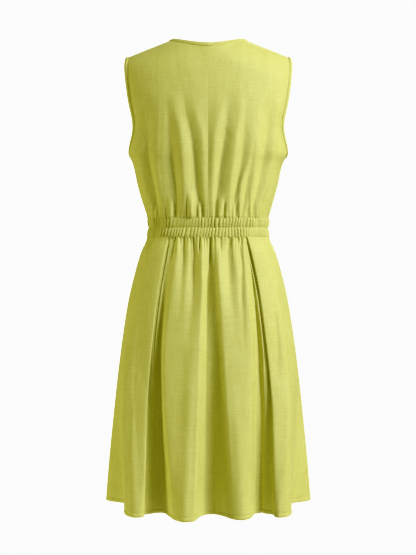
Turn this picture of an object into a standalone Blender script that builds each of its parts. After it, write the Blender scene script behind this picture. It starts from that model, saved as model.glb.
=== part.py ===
"""Sleeveless a-line dress, filled out as worn: a hollow garment of cloth walls.

Metres, +Z up. The wearer faces -Y, so the back of the dress is at +Y and the wearer's left is +X.
The origin is the middle of the neck opening, level with the middle of the shoulder seams.

Every wall is worked out on one ring: an oval cross-section whose half width and depths are read by
height from a table of sections. A place on the ring is an angle from the middle of the back, and a
fold moves the cloth out from the ring or into it. In every function side is 1 at the back and -1 at
the front.
"""

import math
from collections import namedtuple

import bmesh
import bpy
import numpy as np

# Cloth
WALL = 0.0013  # folded linen wall
BINDING_WALL = 0.0017  # cloth edge with its binding round it
SEAM_GAP = 0.0005  # between two pieces at a seam
TILT_ROOM = 0.0004  # more room where a wall's end leans over the waistband
SQUARENESS = 2.3  # exponent of the oval section: 2 is an ellipse

# Heights
NECK_POINT_Z = 0.0190  # top of the shoulder seam, beside the neck
SHOULDER_TIP_Z = -0.0215
BACK_NECK_Z = 0.0005
FRONT_NECK_Z = -0.153  # the point of the V
ARMHOLE_WIDEST_Z = -0.140
UNDERARM_Z = -0.231
BAND_TOP_Z = -0.3725
BAND_MIDDLE_Z = -0.3930
BAND_BOTTOM_Z = -0.4140
HEM_Z = -0.9885
BODICE_FOOT_Z = BAND_TOP_Z + TILT_ROOM
SKIRT_HEAD_Z = BAND_BOTTOM_Z - TILT_ROOM

# Widths from the middle of the body
NECK_POINT_X = 0.078
SHOULDER_TIP_X = 0.181
SIDE_SEAM_ANGLE = 86.0  # degrees from the middle of the back

# Edges of the bodice
NECK_CURVE_BACK = 1.7  # how late the back neckline turns up to the shoulder: 1 is straight
NECK_CURVE_FRONT = 1.08
SHOULDER_ROLL = 0.075  # height over which the cloth turns onto the shoulder
ARMHOLE_BACK = 0.41  # the armhole's edge lies this share of the back's depth behind the shoulder
ARMHOLE_FRONT = 0.44
BINDING_WIDTH = 0.007

# The body's sections from the neck to the hem. The cloth that covers them is this far from the middle.
Section = namedtuple("Section", ("height", "half_width", "back_depth", "front_depth"))
SECTIONS = (
    Section(0.022, 0.1925, 0.074, 0.060),
    Section(-0.020, 0.1920, 0.086, 0.078),
    Section(-0.040, 0.1932, 0.092, 0.085),
    Section(-0.064, 0.1908, 0.098, 0.091),
    Section(-0.117, 0.1830, 0.107, 0.104),
    Section(-0.183, 0.1700, 0.109, 0.121),
    Section(-0.222, 0.1730, 0.107, 0.125),
    Section(-0.232, 0.1728, 0.106, 0.125),
    Section(-0.250, 0.1640, 0.104, 0.122),
    Section(-0.301, 0.1515, 0.099, 0.112),
    Section(-0.354, 0.1365, 0.094, 0.102),
    Section(-0.372, 0.1310, 0.092, 0.099),
    Section(-0.393, 0.1288, 0.091, 0.098),
    Section(-0.414, 0.1320, 0.094, 0.100),
    Section(-0.447, 0.1465, 0.102, 0.107),
    Section(-0.499, 0.1618, 0.113, 0.118),
    Section(-0.552, 0.1739, 0.123, 0.127),
    Section(-0.605, 0.1827, 0.130, 0.134),
    Section(-0.711, 0.1970, 0.140, 0.145),
    Section(-0.816, 0.2082, 0.147, 0.152),
    Section(-0.900, 0.2164, 0.152, 0.157),
    Section(-0.989, 0.2236, 0.156, 0.161),
)

# Waistband: two channels over elastic, gathered into waves that run across both. Each row is a height
# as a share of the band, how much the channel puffs out there and how much of the wave shows there.
BAND_HALF_WAVES = 38  # waves in each half of the band
BAND_WAVE = 0.0011
BAND_WAVE_UNEVEN = 0.3
CHANNEL_PUFF = 0.0022
BAND_THICK = 0.0020
BandRow = namedtuple("BandRow", ("height", "puff", "wave"))
BAND_ROWS = (
    BandRow(BAND_BOTTOM_Z + SEAM_GAP / 2.0, 0.0, 0.5),
    BandRow(0.5 * (BAND_BOTTOM_Z + BAND_MIDDLE_Z), 1.0, 1.0),
    BandRow(BAND_MIDDLE_Z, 0.0, 0.4),
    BandRow(0.5 * (BAND_MIDDLE_Z + BAND_TOP_Z), 1.0, 1.0),
    BandRow(BAND_TOP_Z - SEAM_GAP / 2.0, 0.0, 0.5),
)

# The skirt's large folds from side to side: across (metres from the middle) at four heights, how far
# the fold stands out (+) or in (-) at the hem, the height where it begins, and the columns of cloth
# between it and the next row.
Fold = namedtuple("Fold", ("name", "at_band", "at_hip", "at_thigh", "at_hem", "out", "begins", "columns"))
FOLD_HEIGHTS = (BAND_BOTTOM_Z, -0.50, -0.62, HEM_Z)
FOLD_GROWTH = 1.15  # exponent of a fold's growth from where it begins to the hem
LEAD_IN_COLUMNS = 3  # from the side seam to the first fold
BACK_FOLDS = (
    Fold("side_hollow", 0.1290, 0.1560, 0.1770, 0.2120, -0.036, -0.70, 1),
    Fold("flap_side", 0.1240, 0.1500, 0.1700, 0.1850, -0.018, -0.70, 1),
    Fold("flap_outer", 0.1180, 0.1410, 0.1600, 0.1560, 0.022, -0.66, 1),
    Fold("flap_turn", 0.1130, 0.1350, 0.1530, 0.1480, 0.0268, -0.58, 1),
    Fold("flap_ridge", 0.1080, 0.1290, 0.1460, 0.1410, 0.0282, -0.50, 1),
    Fold("flap_inner", 0.0990, 0.1210, 0.1380, 0.1345, 0.0235, -0.48, 2),
    Fold("pleat_left", 0.0760, 0.0990, 0.1150, 0.1270, 0.012, -0.44, 1),
    Fold("valley_left", 0.0700, 0.0900, 0.1020, 0.1130, -0.027, -0.44, 2),
    Fold("valley_left_end", 0.0640, 0.0830, 0.0940, 0.0950, -0.028, -0.44, 3),
    Fold("ridge_left", 0.0600, 0.0760, 0.0840, 0.0690, 0.022, -0.44, 4),
    Fold("ridge_left_end", 0.0480, 0.0600, 0.0650, 0.0340, 0.028, -0.44, 11),
    Fold("middle", 0.0000, 0.0000, 0.0020, 0.0080, -0.024, -0.44, 3),
    Fold("middle_end", -0.0130, -0.0130, -0.0130, -0.0140, -0.030, -0.44, 3),
    Fold("ridge_right", -0.0220, -0.0220, -0.0290, -0.0540, 0.012, -0.42, 9),
    Fold("ridge_right_end", -0.0600, -0.0640, -0.0680, -0.0780, 0.017, -0.42, 4),
    Fold("valley_right", -0.0780, -0.0900, -0.1010, -0.1030, -0.026, -0.44, 2),
    Fold("valley_right_end", -0.0860, -0.0970, -0.1100, -0.1160, -0.027, -0.44, 1),
    Fold("pleat_right", -0.0910, -0.1030, -0.1180, -0.1290, 0.012, -0.44, 1),
    Fold("flap_inner_right", -0.1120, -0.1250, -0.1410, -0.1345, 0.0235, -0.48, 1),
    Fold("flap_ridge_right", -0.1200, -0.1330, -0.1490, -0.1410, 0.0282, -0.50, 1),
    Fold("flap_turn_right", -0.1230, -0.1380, -0.1560, -0.1480, 0.0268, -0.58, 1),
    Fold("flap_outer_right", -0.1255, -0.1430, -0.1620, -0.1560, 0.022, -0.66, 1),
    Fold("flap_side_right", -0.1280, -0.1490, -0.1710, -0.1850, -0.018, -0.70, 1),
    Fold("side_hollow_right", -0.1300, -0.1540, -0.1780, -0.2120, -0.036, -0.70, 3),
)
FRONT_FOLDS = (
    Fold("hollow_right", -0.1260, -0.1520, -0.1680, -0.1980, -0.020, -0.56, 3),
    Fold("ridge_side_right", -0.1080, -0.1250, -0.1440, -0.1620, 0.024, -0.46, 4),
    Fold("valley_right", -0.0800, -0.0930, -0.1020, -0.1090, -0.022, -0.44, 5),
    Fold("ridge_right", -0.0500, -0.0560, -0.0600, -0.0620, 0.024, -0.43, 5),
    Fold("middle", -0.0120, -0.0130, -0.0100, 0.0020, -0.021, -0.46, 5),
    Fold("ridge_left", 0.0270, 0.0330, 0.0440, 0.0560, 0.023, -0.43, 5),
    Fold("valley_left", 0.0640, 0.0790, 0.0930, 0.1040, -0.023, -0.44, 5),
    Fold("ridge_side_left", 0.0980, 0.1200, 0.1370, 0.1550, 0.024, -0.47, 4),
    Fold("hollow_left", 0.1230, 0.1500, 0.1700, 0.1970, -0.021, -0.58, 3),
)

# Knife pleats of the back skirt: three layers at the band that open into a soft valley. Each row of
# layers is how far under the flap's edge the cloth lies, and its height in pitches over the skirt.
PLEATS = ("pleat_left", "pleat_right")
PLEAT_LAP = 0.022  # cloth folded under the flap at the band
PLEAT_TURN = 0.0012  # how far a layer's turn is rounded off
PLEAT_PITCH = 0.0024  # from layer to layer
PLEAT_FOLDED_Z = -0.60  # folded flat above this
PLEAT_OPEN_Z = -0.80  # open below this
PLEAT_OPEN_START = 0.006  # the open pleat's wall starts this far outside the flap's line
PLEAT_OPEN_RUN = 0.013  # and runs this far inwards
PLEAT_OPEN_DEPTH = 0.026  # while it falls this far at the hem
PLEAT_CLEAR = 0.002  # small creases start to show this far from the layers
PLEAT_FADE = 0.006  # and show in full after this much more
PleatLayer = namedtuple("PleatLayer", ("under", "height"))
PLEAT_LAYERS = (
    PleatLayer(PLEAT_LAP + 0.0020, 2.00),
    PleatLayer(PLEAT_TURN, 1.90),
    PleatLayer(0.0, 1.50),
    PleatLayer(PLEAT_TURN, 1.10),
    PleatLayer(PLEAT_LAP - PLEAT_TURN, 0.90),
    PleatLayer(PLEAT_LAP, 0.50),
    PleatLayer(PLEAT_LAP - PLEAT_TURN, 0.10),
    PleatLayer(PLEAT_LAP - 0.0120, 0.0),
)

# Creases: each runs from its foot, at the waistband, to its head, where it has faded away. Its width
# is at the foot and grows by this share to the head.
Crease = namedtuple("Crease", ("foot", "head", "head_height", "width", "out"))
CREASE_SPREAD = 0.6
BODICE_BACK_CREASES = (
    Crease(0.1068, 0.1340, -0.188, 0.0090, -0.0035),
    Crease(0.0900, 0.1120, -0.240, 0.0070, 0.0025),
    Crease(0.0647, 0.0837, -0.156, 0.0085, -0.0040),
    Crease(0.0458, 0.0690, -0.130, 0.0090, 0.0045),
    Crease(0.0184, 0.0479, -0.125, 0.0085, -0.0045),
    Crease(0.0060, 0.0268, -0.150, 0.0060, 0.0025),
    Crease(-0.0068, -0.0258, -0.150, 0.0050, 0.0020),
    Crease(-0.0153, -0.0426, -0.125, 0.0085, -0.0045),
    Crease(-0.0400, -0.0700, -0.130, 0.0080, 0.0045),
    Crease(-0.0510, -0.0784, -0.145, 0.0060, -0.0040),
    Crease(-0.0637, -0.0995, -0.180, 0.0080, 0.0035),
    Crease(-0.0974, -0.1310, -0.170, 0.0090, -0.0040),
    Crease(-0.1120, -0.1416, -0.185, 0.0070, 0.0025),
)
BODICE_FRONT_CREASES = (
    Crease(-0.1090, -0.1310, -0.215, 0.0080, -0.0035),
    Crease(-0.0900, -0.1060, -0.235, 0.0070, 0.0030),
    Crease(-0.0700, -0.0800, -0.200, 0.0080, -0.0040),
    Crease(-0.0480, -0.0580, -0.220, 0.0085, 0.0040),
    Crease(-0.0250, -0.0330, -0.230, 0.0075, -0.0035),
    Crease(-0.0030, -0.0010, -0.255, 0.0080, 0.0030),
    Crease(0.0190, 0.0280, -0.235, 0.0075, -0.0035),
    Crease(0.0430, 0.0560, -0.215, 0.0080, 0.0040),
    Crease(0.0640, 0.0770, -0.205, 0.0075, -0.0040),
    Crease(0.0860, 0.1060, -0.230, 0.0080, 0.0030),
    Crease(0.1060, 0.1290, -0.210, 0.0080, -0.0035),
)
SKIRT_BACK_CREASES = (
    Crease(0.0490, 0.0500, -0.540, 0.0045, -0.0030),
    Crease(0.0330, 0.0370, -0.560, 0.0050, 0.0028),
    Crease(0.0190, 0.0250, -0.600, 0.0060, -0.0040),
    Crease(0.0080, 0.0090, -0.560, 0.0060, 0.0030),
    Crease(-0.0280, -0.0280, -0.480, 0.0045, -0.0025),
    Crease(-0.0400, -0.0330, -0.540, 0.0060, 0.0028),
    Crease(-0.0500, -0.0560, -0.530, 0.0045, -0.0030),
    Crease(-0.0610, -0.0680, -0.560, 0.0055, 0.0028),
    Crease(-0.0720, -0.0780, -0.550, 0.0045, -0.0028),
)
SKIRT_FRONT_CREASES = (
    Crease(-0.0990, -0.1180, -0.520, 0.0050, -0.0028),
    Crease(-0.0660, -0.0780, -0.560, 0.0055, 0.0028),
    Crease(-0.0370, -0.0430, -0.520, 0.0050, -0.0030),
    Crease(-0.0230, -0.0260, -0.550, 0.0055, 0.0028),
    Crease(0.0040, 0.0060, -0.530, 0.0050, -0.0030),
    Crease(0.0400, 0.0510, -0.560, 0.0055, -0.0030),
    Crease(0.0530, 0.0690, -0.520, 0.0055, 0.0028),
    Crease(0.0790, 0.0960, -0.550, 0.0050, -0.0028),
    Crease(0.1110, 0.1330, -0.530, 0.0050, -0.0028),
)
CREASES_END = 0.86  # creases of the bodice start to fade at this share of the way to its edge
CREASES_GONE = 0.98

# Short gathers beside the band, between the long creases: an uneven wave that fades with height. Each
# sway shifts the wave by an amount (radians), so many radians to the metre, from a start.
GATHER_SPACING = 0.0145
GATHER_OUT = 0.0020
GATHER_LENGTH = 0.034
Sway = namedtuple("Sway", ("amount", "per_metre", "start"))
GATHER_SWAYS = (Sway(1.7, 55.0, 0.0), Sway(0.9, 131.0, 1.0))
GATHER_LENGTH_SWAY = Sway(0.5, 210.0, 0.6)

# Mesh density
UNDERARM_ROW = 4
ARMHOLE_TURNS = (90.0, 68.0, 42.0, 0.0)  # degrees round the armhole's lower turn
SHOULDER_TURNS = (90.0, 62.0, 38.0, 17.0, 0.0)  # degrees of the turn onto the shoulder
NECK_COLUMNS = 6
SHOULDER_COLUMNS = 19
SKIRT_ROWS = 13
SKIRT_ROW_SPREAD = 1.25  # rows are closer together towards the band

LINEN = (0.53, 0.55, 0.07)
BINDING_SHADE = 0.97
BAND_SHADE = 0.95


def eased(t):
    """0 below 0, 1 above 1, and a smooth step between."""
    t = np.clip(t, 0.0, 1.0)
    return t * t * (3.0 - 2.0 * t)


def curve_through(knots, values):
    """A smooth curve through values at knots that rise or fall."""
    order = np.argsort(knots)
    knots, values = np.asarray(knots, float)[order], np.asarray(values, float)[order]
    slopes = np.gradient(values, knots)

    def at(place):
        place = np.clip(place, knots[0], knots[-1])
        i = np.clip(np.searchsorted(knots, place) - 1, 0, len(knots) - 2)
        span = knots[i + 1] - knots[i]
        t = (place - knots[i]) / span
        leave = t * (1.0 - t) ** 2 * slopes[i]
        arrive = t * t * (t - 1.0) * slopes[i + 1]
        return values[i] + (values[i + 1] - values[i]) * eased(t) + span * (leave + arrive)

    return at


def section_curve(name):
    return curve_through([row.height for row in SECTIONS], [getattr(row, name) for row in SECTIONS])


half_width = section_curve("half_width")
back_depth = section_curve("back_depth")
front_depth = section_curve("front_depth")


def ring(angle, z):
    """Points and outward normals on the oval at a height, at angles from the middle of the back."""
    sine, cosine = np.sin(angle), np.cos(angle)
    width = half_width(z)
    depth = np.where(cosine >= 0.0, back_depth(z), front_depth(z))
    power = 2.0 / SQUARENESS
    x = width * np.sign(sine) * np.abs(sine) ** power
    y = depth * np.sign(cosine) * np.abs(cosine) ** power
    nx = np.sign(sine) * (np.abs(x) / width) ** (SQUARENESS - 1.0) / width
    ny = np.sign(cosine) * (np.abs(y) / depth) ** (SQUARENESS - 1.0) / depth
    length = np.hypot(nx, ny)
    return x, y, nx / length, ny / length


def angle_at(across, width, side):
    """The ring's angle at a distance across."""
    turn = math.asin(min(abs(across) / width, 1.0) ** (SQUARENESS / 2.0))
    turn = math.copysign(turn, across)
    return turn if side > 0 else math.pi - turn


def creases_out(creases, x, z, foot_z):
    """How far the creases of one panel move the cloth out."""
    out = np.zeros_like(x)
    for crease in creases:
        t = (z - foot_z) / (crease.head_height - foot_z)
        middle = crease.foot + (crease.head - crease.foot) * t
        spread = crease.width * (1.0 + CREASE_SPREAD * np.clip(t, 0.0, 1.0))
        out += crease.out * np.exp(-(((x - middle) / spread) ** 2)) * (1.0 - eased(t))
    return out


def swayed(sway, x):
    return sway.amount * np.sin(x * sway.per_metre + sway.start)


def gathers_out(x, z, foot_z):
    """Short uneven gathers that fade away from the band."""
    phase = 2.0 * math.pi * x / GATHER_SPACING + sum(swayed(sway, x) for sway in GATHER_SWAYS)
    reach = GATHER_LENGTH * (1.0 + swayed(GATHER_LENGTH_SWAY, x))
    return GATHER_OUT * np.sin(phase) * np.exp(-np.abs(z - foot_z) / reach)


# Bodice -----------------------------------------------------------------------------------------


def shoulder_z(x):
    """Height of the shoulder seam's line at a distance across, also where the neck cuts it."""
    slope = (NECK_POINT_Z - SHOULDER_TIP_Z) / (SHOULDER_TIP_X - NECK_POINT_X)
    return NECK_POINT_Z - slope * (np.abs(x) - NECK_POINT_X)


def armhole_share(z, side, inset):
    """How far the armhole's edge is from the shoulder line, as a share of the depth there.

    inset is how far inside the garment's edge the line lies: 0 on the edge itself.
    """
    if side > 0:
        widest = ARMHOLE_BACK + inset / back_depth(ARMHOLE_WIDEST_Z)
    else:
        widest = ARMHOLE_FRONT + inset / front_depth(ARMHOLE_WIDEST_Z)
    lowest = UNDERARM_Z - inset
    drop = np.clip((ARMHOLE_WIDEST_Z - z) / (ARMHOLE_WIDEST_Z - lowest), 0.0, 1.0)
    return np.where(z > lowest, widest * np.sqrt(1.0 - drop**2), 0.0)


def rolled(x, z):
    """The share of the depth that is left as the cloth turns onto the shoulder."""
    t = np.clip((shoulder_z(x) - z) / SHOULDER_ROLL, 0.0, 1.0)
    return np.sqrt(1.0 - (1.0 - t) ** 2)


def panel_edge(z, side, inset):
    """The ring's angle where a bodice panel's edge lies, from the middle of the panel."""
    return np.arccos(armhole_share(z, side, inset) ** (SQUARENESS / 2.0))


def bodice_plain(fraction, z, side, inset):
    """A point of the unfolded bodice. fraction runs from 0 in the middle to 1 at the edge."""
    angle = panel_edge(z, side, inset) * np.abs(fraction)
    depth = back_depth(z) if side > 0 else front_depth(z)
    x = np.sign(fraction) * half_width(z) * np.sin(angle) ** (2.0 / SQUARENESS)
    y = side * depth * np.cos(angle) ** (2.0 / SQUARENESS) * rolled(x, z)
    return np.stack([x, y, z + 0.0 * x], axis=-1)


def neck_fraction(side, inset):
    """The fraction across a panel where its neckline meets its shoulder seam."""
    corner = NECK_POINT_X + inset
    corner_z = shoulder_z(corner)
    turn = np.arcsin((corner / half_width(corner_z)) ** (SQUARENESS / 2.0))
    return float(turn / panel_edge(corner_z, side, inset))


def neck_z(x, side, inset):
    """Height of the neckline at a distance across."""
    corner = NECK_POINT_X + inset
    t = np.clip(np.abs(x) / corner, 0.0, 1.0)
    if side > 0:
        middle, curve = BACK_NECK_Z - inset, NECK_CURVE_BACK
    else:
        steepness = math.hypot(NECK_POINT_X, NECK_POINT_Z - FRONT_NECK_Z) / NECK_POINT_X
        middle, curve = FRONT_NECK_Z - inset * steepness, NECK_CURVE_FRONT
    return middle + (shoulder_z(corner) - middle) * t**curve


def top_z(fraction, side, inset):
    """Height of a column's top end, on the neckline or on the shoulder seam, by repeated steps."""
    z = np.full_like(fraction, SHOULDER_TIP_Z)
    on_neck = np.abs(fraction) < neck_fraction(side, inset) - 1e-6
    for _ in range(40):
        x = bodice_plain(fraction, z, side, inset)[..., 0]
        z = 0.5 * z + 0.5 * np.where(on_neck, neck_z(x, side, inset), shoulder_z(x))
    return z


def edge_heights(side, inset):
    """Heights up the side seam and the armhole, closer together where the armhole turns."""
    tip = float(top_z(np.array([1.0]), side, inset)[0])
    lowest = UNDERARM_Z - inset
    below = np.linspace(BODICE_FOOT_Z, lowest, UNDERARM_ROW + 1)[:-1]
    turn = ARMHOLE_WIDEST_Z - (ARMHOLE_WIDEST_Z - lowest) * np.sin(np.radians(ARMHOLE_TURNS))
    upper = tip - SHOULDER_ROLL * (1.0 - np.cos(np.radians(SHOULDER_TURNS)))
    return np.concatenate([below, turn, upper])


def side_columns(side, inset):
    """Fractions from the middle to the edge, with one column at the neck point."""
    corner = neck_fraction(side, inset)
    neck = np.linspace(0.0, corner, NECK_COLUMNS + 1)
    shoulder = np.linspace(corner, 1.0, SHOULDER_COLUMNS + 1)
    return np.concatenate([neck, shoulder[1:]])


def facing(points):
    """Unit normals of a grid of points by rows and columns, towards the wearer's front."""
    normals = np.cross(np.gradient(points, axis=1), np.gradient(points, axis=0))
    return normals / np.maximum(np.linalg.norm(normals, axis=-1, keepdims=True), 1e-12)


def bodice_grid(fractions, side, creases):
    """A panel's points by rows from the waist up, and columns from the wearer's right to left."""
    edge = edge_heights(side, BINDING_WIDTH)[:, None]
    rows = np.linspace(0.0, 1.0, len(edge))[:, None]
    top = top_z(fractions, side, BINDING_WIDTH)[None, :]
    even = BODICE_FOOT_Z + (top - BODICE_FOOT_Z) * rows
    follows = BODICE_FOOT_Z + (edge - BODICE_FOOT_Z) * (top - BODICE_FOOT_Z) / (edge[-1] - BODICE_FOOT_Z)
    z = even + (follows - even) * fractions[None, :] ** 2
    points = bodice_plain(fractions[None, :] + 0.0 * z, z, side, BINDING_WIDTH)
    x = points[..., 0]
    out = creases_out(creases, x, z, BAND_TOP_Z) + gathers_out(x, z, BAND_TOP_Z)
    out *= 1.0 - eased((np.abs(fractions[None, :]) - CREASES_END) / (CREASES_GONE - CREASES_END))
    return points - side * out[..., None] * facing(points) * np.array([1.0, 1.0, 0.0])


def neck_line(inset):
    """The neckline's points in order: across the back from right to left, then back by the front."""
    back = side_columns(1, inset)[: NECK_COLUMNS + 1]
    front = side_columns(-1, inset)[:NECK_COLUMNS]
    back = np.concatenate([-back[:0:-1], back])
    front = np.concatenate([front[::-1], -front[1:]])
    return np.concatenate([
        bodice_plain(back, top_z(back, 1, inset), 1, inset),
        bodice_plain(front, top_z(front, -1, inset), -1, inset),
    ])


def armhole_line(hand, inset):
    """One armhole's points in order: up the back edge from the underarm, then down the front edge."""
    up = edge_heights(1, inset)[UNDERARM_ROW:]
    down = edge_heights(-1, inset)[:UNDERARM_ROW:-1][1:]
    return np.concatenate([
        bodice_plain(np.full_like(up, hand), up, 1, inset),
        bodice_plain(np.full_like(down, hand), down, -1, inset),
    ])


# Skirt ------------------------------------------------------------------------------------------


def fold_across(fold, z):
    """A fold's distance across at one height."""
    return float(curve_through(FOLD_HEIGHTS, (fold.at_band, fold.at_hip, fold.at_thigh, fold.at_hem))(z))


def fold_stations(folds, z):
    """Places across, out, and columns to the next, of every fold line and pleat layer at one height."""
    stations = []
    for fold in folds:
        across = fold_across(fold, z)
        grown = max(fold.begins - z, 0.0) / (fold.begins - HEM_Z)
        level = fold.out * grown**FOLD_GROWTH
        if fold.name in PLEATS:
            layers = pleat_layers(across, level, grown, z)
            stations += [(place, out, 1) for place, out in (layers if across > 0 else layers[::-1])]
        else:
            stations.append((across, level, fold.columns))
    return stations


def pleat_layers(across, level, grown, z):
    """The turns of a knife pleat from its flap inwards, blended into the wall of an open valley."""
    opened = float(eased((PLEAT_FOLDED_Z - z) / (PLEAT_FOLDED_Z - PLEAT_OPEN_Z)))
    toward_side = math.copysign(1.0, across)
    layers = []
    for order, layer in enumerate(PLEAT_LAYERS):
        share = order / (len(PLEAT_LAYERS) - 1.0)
        shut = (across + toward_side * layer.under, PLEAT_PITCH * layer.height)
        wall = PLEAT_OPEN_START - PLEAT_OPEN_RUN * share
        wide = (across + toward_side * wall, level - PLEAT_OPEN_DEPTH * grown * share)
        layers.append(tuple(a + (b - a) * opened for a, b in zip(shut, wide)))
    return layers


def free_of_pleats(x, z):
    """1 away from the knife pleats and 0 across their layers."""
    free = np.ones_like(x)
    for fold in BACK_FOLDS:
        if fold.name in PLEATS:
            edge = fold_across(fold, z)
            middle = edge + math.copysign(PLEAT_LAP / 2.0, edge)
            free *= eased((np.abs(x - middle) - PLEAT_LAP / 2.0 - PLEAT_CLEAR) / PLEAT_FADE)
    return free


def skirt_row(folds, creases, side, z):
    """One row of a skirt panel's points at a height, from side seam to side seam by its folds."""
    seam = math.radians(SIDE_SEAM_ANGLE)
    start, end = (seam, -seam) if side > 0 else (2.0 * math.pi - seam, seam)
    stations = fold_stations(folds, z)
    turns = [start] + [angle_at(across, half_width(z), side) for across, _, _ in stations] + [end]
    levels = [0.0] + [out for _, out, _ in stations] + [0.0]
    angles, outs = [np.array([start])], [np.zeros(1)]
    for i, columns in enumerate([LEAD_IN_COLUMNS] + [columns for _, _, columns in stations]):
        t = np.arange(1, columns + 1) / columns
        angles.append(turns[i] + (turns[i + 1] - turns[i]) * t)
        outs.append(levels[i] + (levels[i + 1] - levels[i]) * eased(t))
    x, y, nx, ny = ring(np.concatenate(angles), z)
    level = np.full_like(x, z)
    small = creases_out(creases, x, level, BAND_BOTTOM_Z) + gathers_out(x, level, BAND_BOTTOM_Z)
    if side > 0:
        small *= free_of_pleats(x, z)
    out = np.concatenate(outs) + small
    return np.stack([x + nx * out, y + ny * out, level], axis=-1)


def skirt_grid(folds, creases, side):
    """A skirt panel's points by rows from the hem up."""
    down = np.linspace(0.0, 1.0, SKIRT_ROWS) ** SKIRT_ROW_SPREAD
    heights = SKIRT_HEAD_Z + (HEM_Z - SKIRT_HEAD_Z) * down
    return np.array([skirt_row(folds, creases, side, float(z)) for z in heights[::-1]])


# Waistband --------------------------------------------------------------------------------------


def waistband_sections(start_angle, end_angle):
    """Half of the band as a row of closed sections: two puffed channels, waved by the elastic."""
    count = 2 * BAND_HALF_WAVES
    gap = SEAM_GAP / 2.0 / half_width(BAND_MIDDLE_Z)
    sections = []
    for i in range(count + 1):
        angle = start_angle + gap + (end_angle - start_angle - 2.0 * gap) * i / count
        wave = BAND_WAVE * (1.0 if i % 2 else -1.0) * (1.0 + BAND_WAVE_UNEVEN * math.sin(i * 1.9))
        outer, inner = [], []
        for row in BAND_ROWS:
            x, y, nx, ny = (float(value) for value in ring(angle, row.height))
            reach = BAND_THICK / 2.0 + row.puff * CHANNEL_PUFF + row.wave * wave
            outer.append((x + nx * reach, y + ny * reach, row.height))
            inner.append((x - nx * BAND_THICK / 2.0, y - ny * BAND_THICK / 2.0, row.height))
        sections.append(outer + inner[::-2])
    return sections


# Objects ----------------------------------------------------------------------------------------


def clear_scene():
    for item in list(bpy.data.objects):
        bpy.data.objects.remove(item, do_unlink=True)


def linen(name, shade):
    material = bpy.data.materials.new(name)
    material.use_nodes = True
    shader = material.node_tree.nodes["Principled BSDF"]
    shader.inputs["Base Color"].default_value = tuple(c * shade for c in LINEN) + (1.0,)
    shader.inputs["Roughness"].default_value = 0.85
    shader.inputs["Metallic"].default_value = 0.0
    return material


def add_object(name, mesh, collection, shade):
    mesh.materials.append(linen(name + "_linen", shade))
    item = bpy.data.objects.new(name, mesh)
    collection.objects.link(item)
    return item


def panel(name, points, collection, wall=WALL, closed=False, shade=1.0):
    """A cloth wall on the outside of a grid of points. closed joins the grid's first and last rows."""
    mesh = bpy.data.meshes.new(name)
    work = bmesh.new()
    rows, columns = points.shape[:2]
    grid = [[work.verts.new(points[r, c]) for c in range(columns)] for r in range(rows)]
    for r in range(rows if closed else rows - 1):
        for c in range(columns - 1):
            below, above = grid[r], grid[(r + 1) % rows]
            work.faces.new((below[c], below[c + 1], above[c + 1], above[c]))
    bmesh.ops.triangulate(work, faces=work.faces, quad_method="SHORT_EDGE")
    work.to_mesh(mesh)
    work.free()
    mesh.shade_smooth()
    solidify = add_object(name, mesh, collection, shade).modifiers.new("wall", "SOLIDIFY")
    solidify.thickness = wall
    solidify.offset = 1.0


def drawn_in(points, distance):
    """The grid with its outer rows and columns drawn in by a distance."""
    points = points.copy()
    for edge, inner in ((0, 1), (-1, -2)):
        step = points[:, inner] - points[:, edge]
        points[:, edge] += distance * step / np.linalg.norm(step, axis=-1, keepdims=True)
    for edge, inner in ((0, 1), (-1, -2)):
        step = points[inner] - points[edge]
        points[edge] += distance * step / np.linalg.norm(step, axis=-1, keepdims=True)
    return points


def build_bodice(collection):
    half = side_columns(1, BINDING_WIDTH)
    left = bodice_grid(half, 1, BODICE_BACK_CREASES)
    right = bodice_grid(-half[::-1], 1, BODICE_BACK_CREASES)
    half = side_columns(-1, BINDING_WIDTH)
    front = bodice_grid(np.concatenate([-half[::-1], half[1:]]), -1, BODICE_FRONT_CREASES)
    for name, points in (
        ("bodice_back_left", left[:, ::-1]),
        ("bodice_back_right", right[:, ::-1]),
        ("bodice_front", front),
    ):
        panel(name, drawn_in(points, SEAM_GAP / 2.0), collection)


def build_bindings(collection):
    """Each binding is a closed strip from the garment's edge in to the panel, in line with its wall."""
    inner = BINDING_WIDTH - SEAM_GAP
    neck = np.stack([neck_line(inner), neck_line(0.0)], axis=1)
    left = np.stack([armhole_line(1.0, 0.0), armhole_line(1.0, inner)], axis=1)
    right = np.stack([armhole_line(-1.0, inner), armhole_line(-1.0, 0.0)], axis=1)
    for name, strip in (("neck_band", neck), ("armhole_band_left", left), ("armhole_band_right", right)):
        panel(name, strip, collection, BINDING_WALL, closed=True, shade=BINDING_SHADE)


def build_waistband(collection):
    quarter = math.pi / 2.0
    for name, start, end in (
        ("waistband_back", -quarter, quarter),
        ("waistband_front", quarter, 3.0 * quarter),
    ):
        mesh = bpy.data.meshes.new(name)
        work = bmesh.new()
        rings = [[work.verts.new(point) for point in section] for section in waistband_sections(start, end)]
        size = len(rings[0])
        for a, b in zip(rings, rings[1:]):
            for k in range(size):
                work.faces.new((a[k], a[(k + 1) % size], b[(k + 1) % size], b[k]))
        work.faces.new(rings[0][::-1])
        work.faces.new(rings[-1])
        bmesh.ops.recalc_face_normals(work, faces=work.faces)
        bmesh.ops.triangulate(work, faces=[face for face in work.faces if len(face.verts) > 4])
        work.to_mesh(mesh)
        work.free()
        mesh.shade_flat()
        add_object(name, mesh, collection, BAND_SHADE)


def build_skirt(collection):
    back = skirt_grid(BACK_FOLDS, SKIRT_BACK_CREASES, 1)
    front = skirt_grid(FRONT_FOLDS, SKIRT_FRONT_CREASES, -1)
    panel("skirt_back", drawn_in(back, SEAM_GAP / 2.0), collection)
    panel("skirt_front", drawn_in(front, SEAM_GAP / 2.0), collection)


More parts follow.
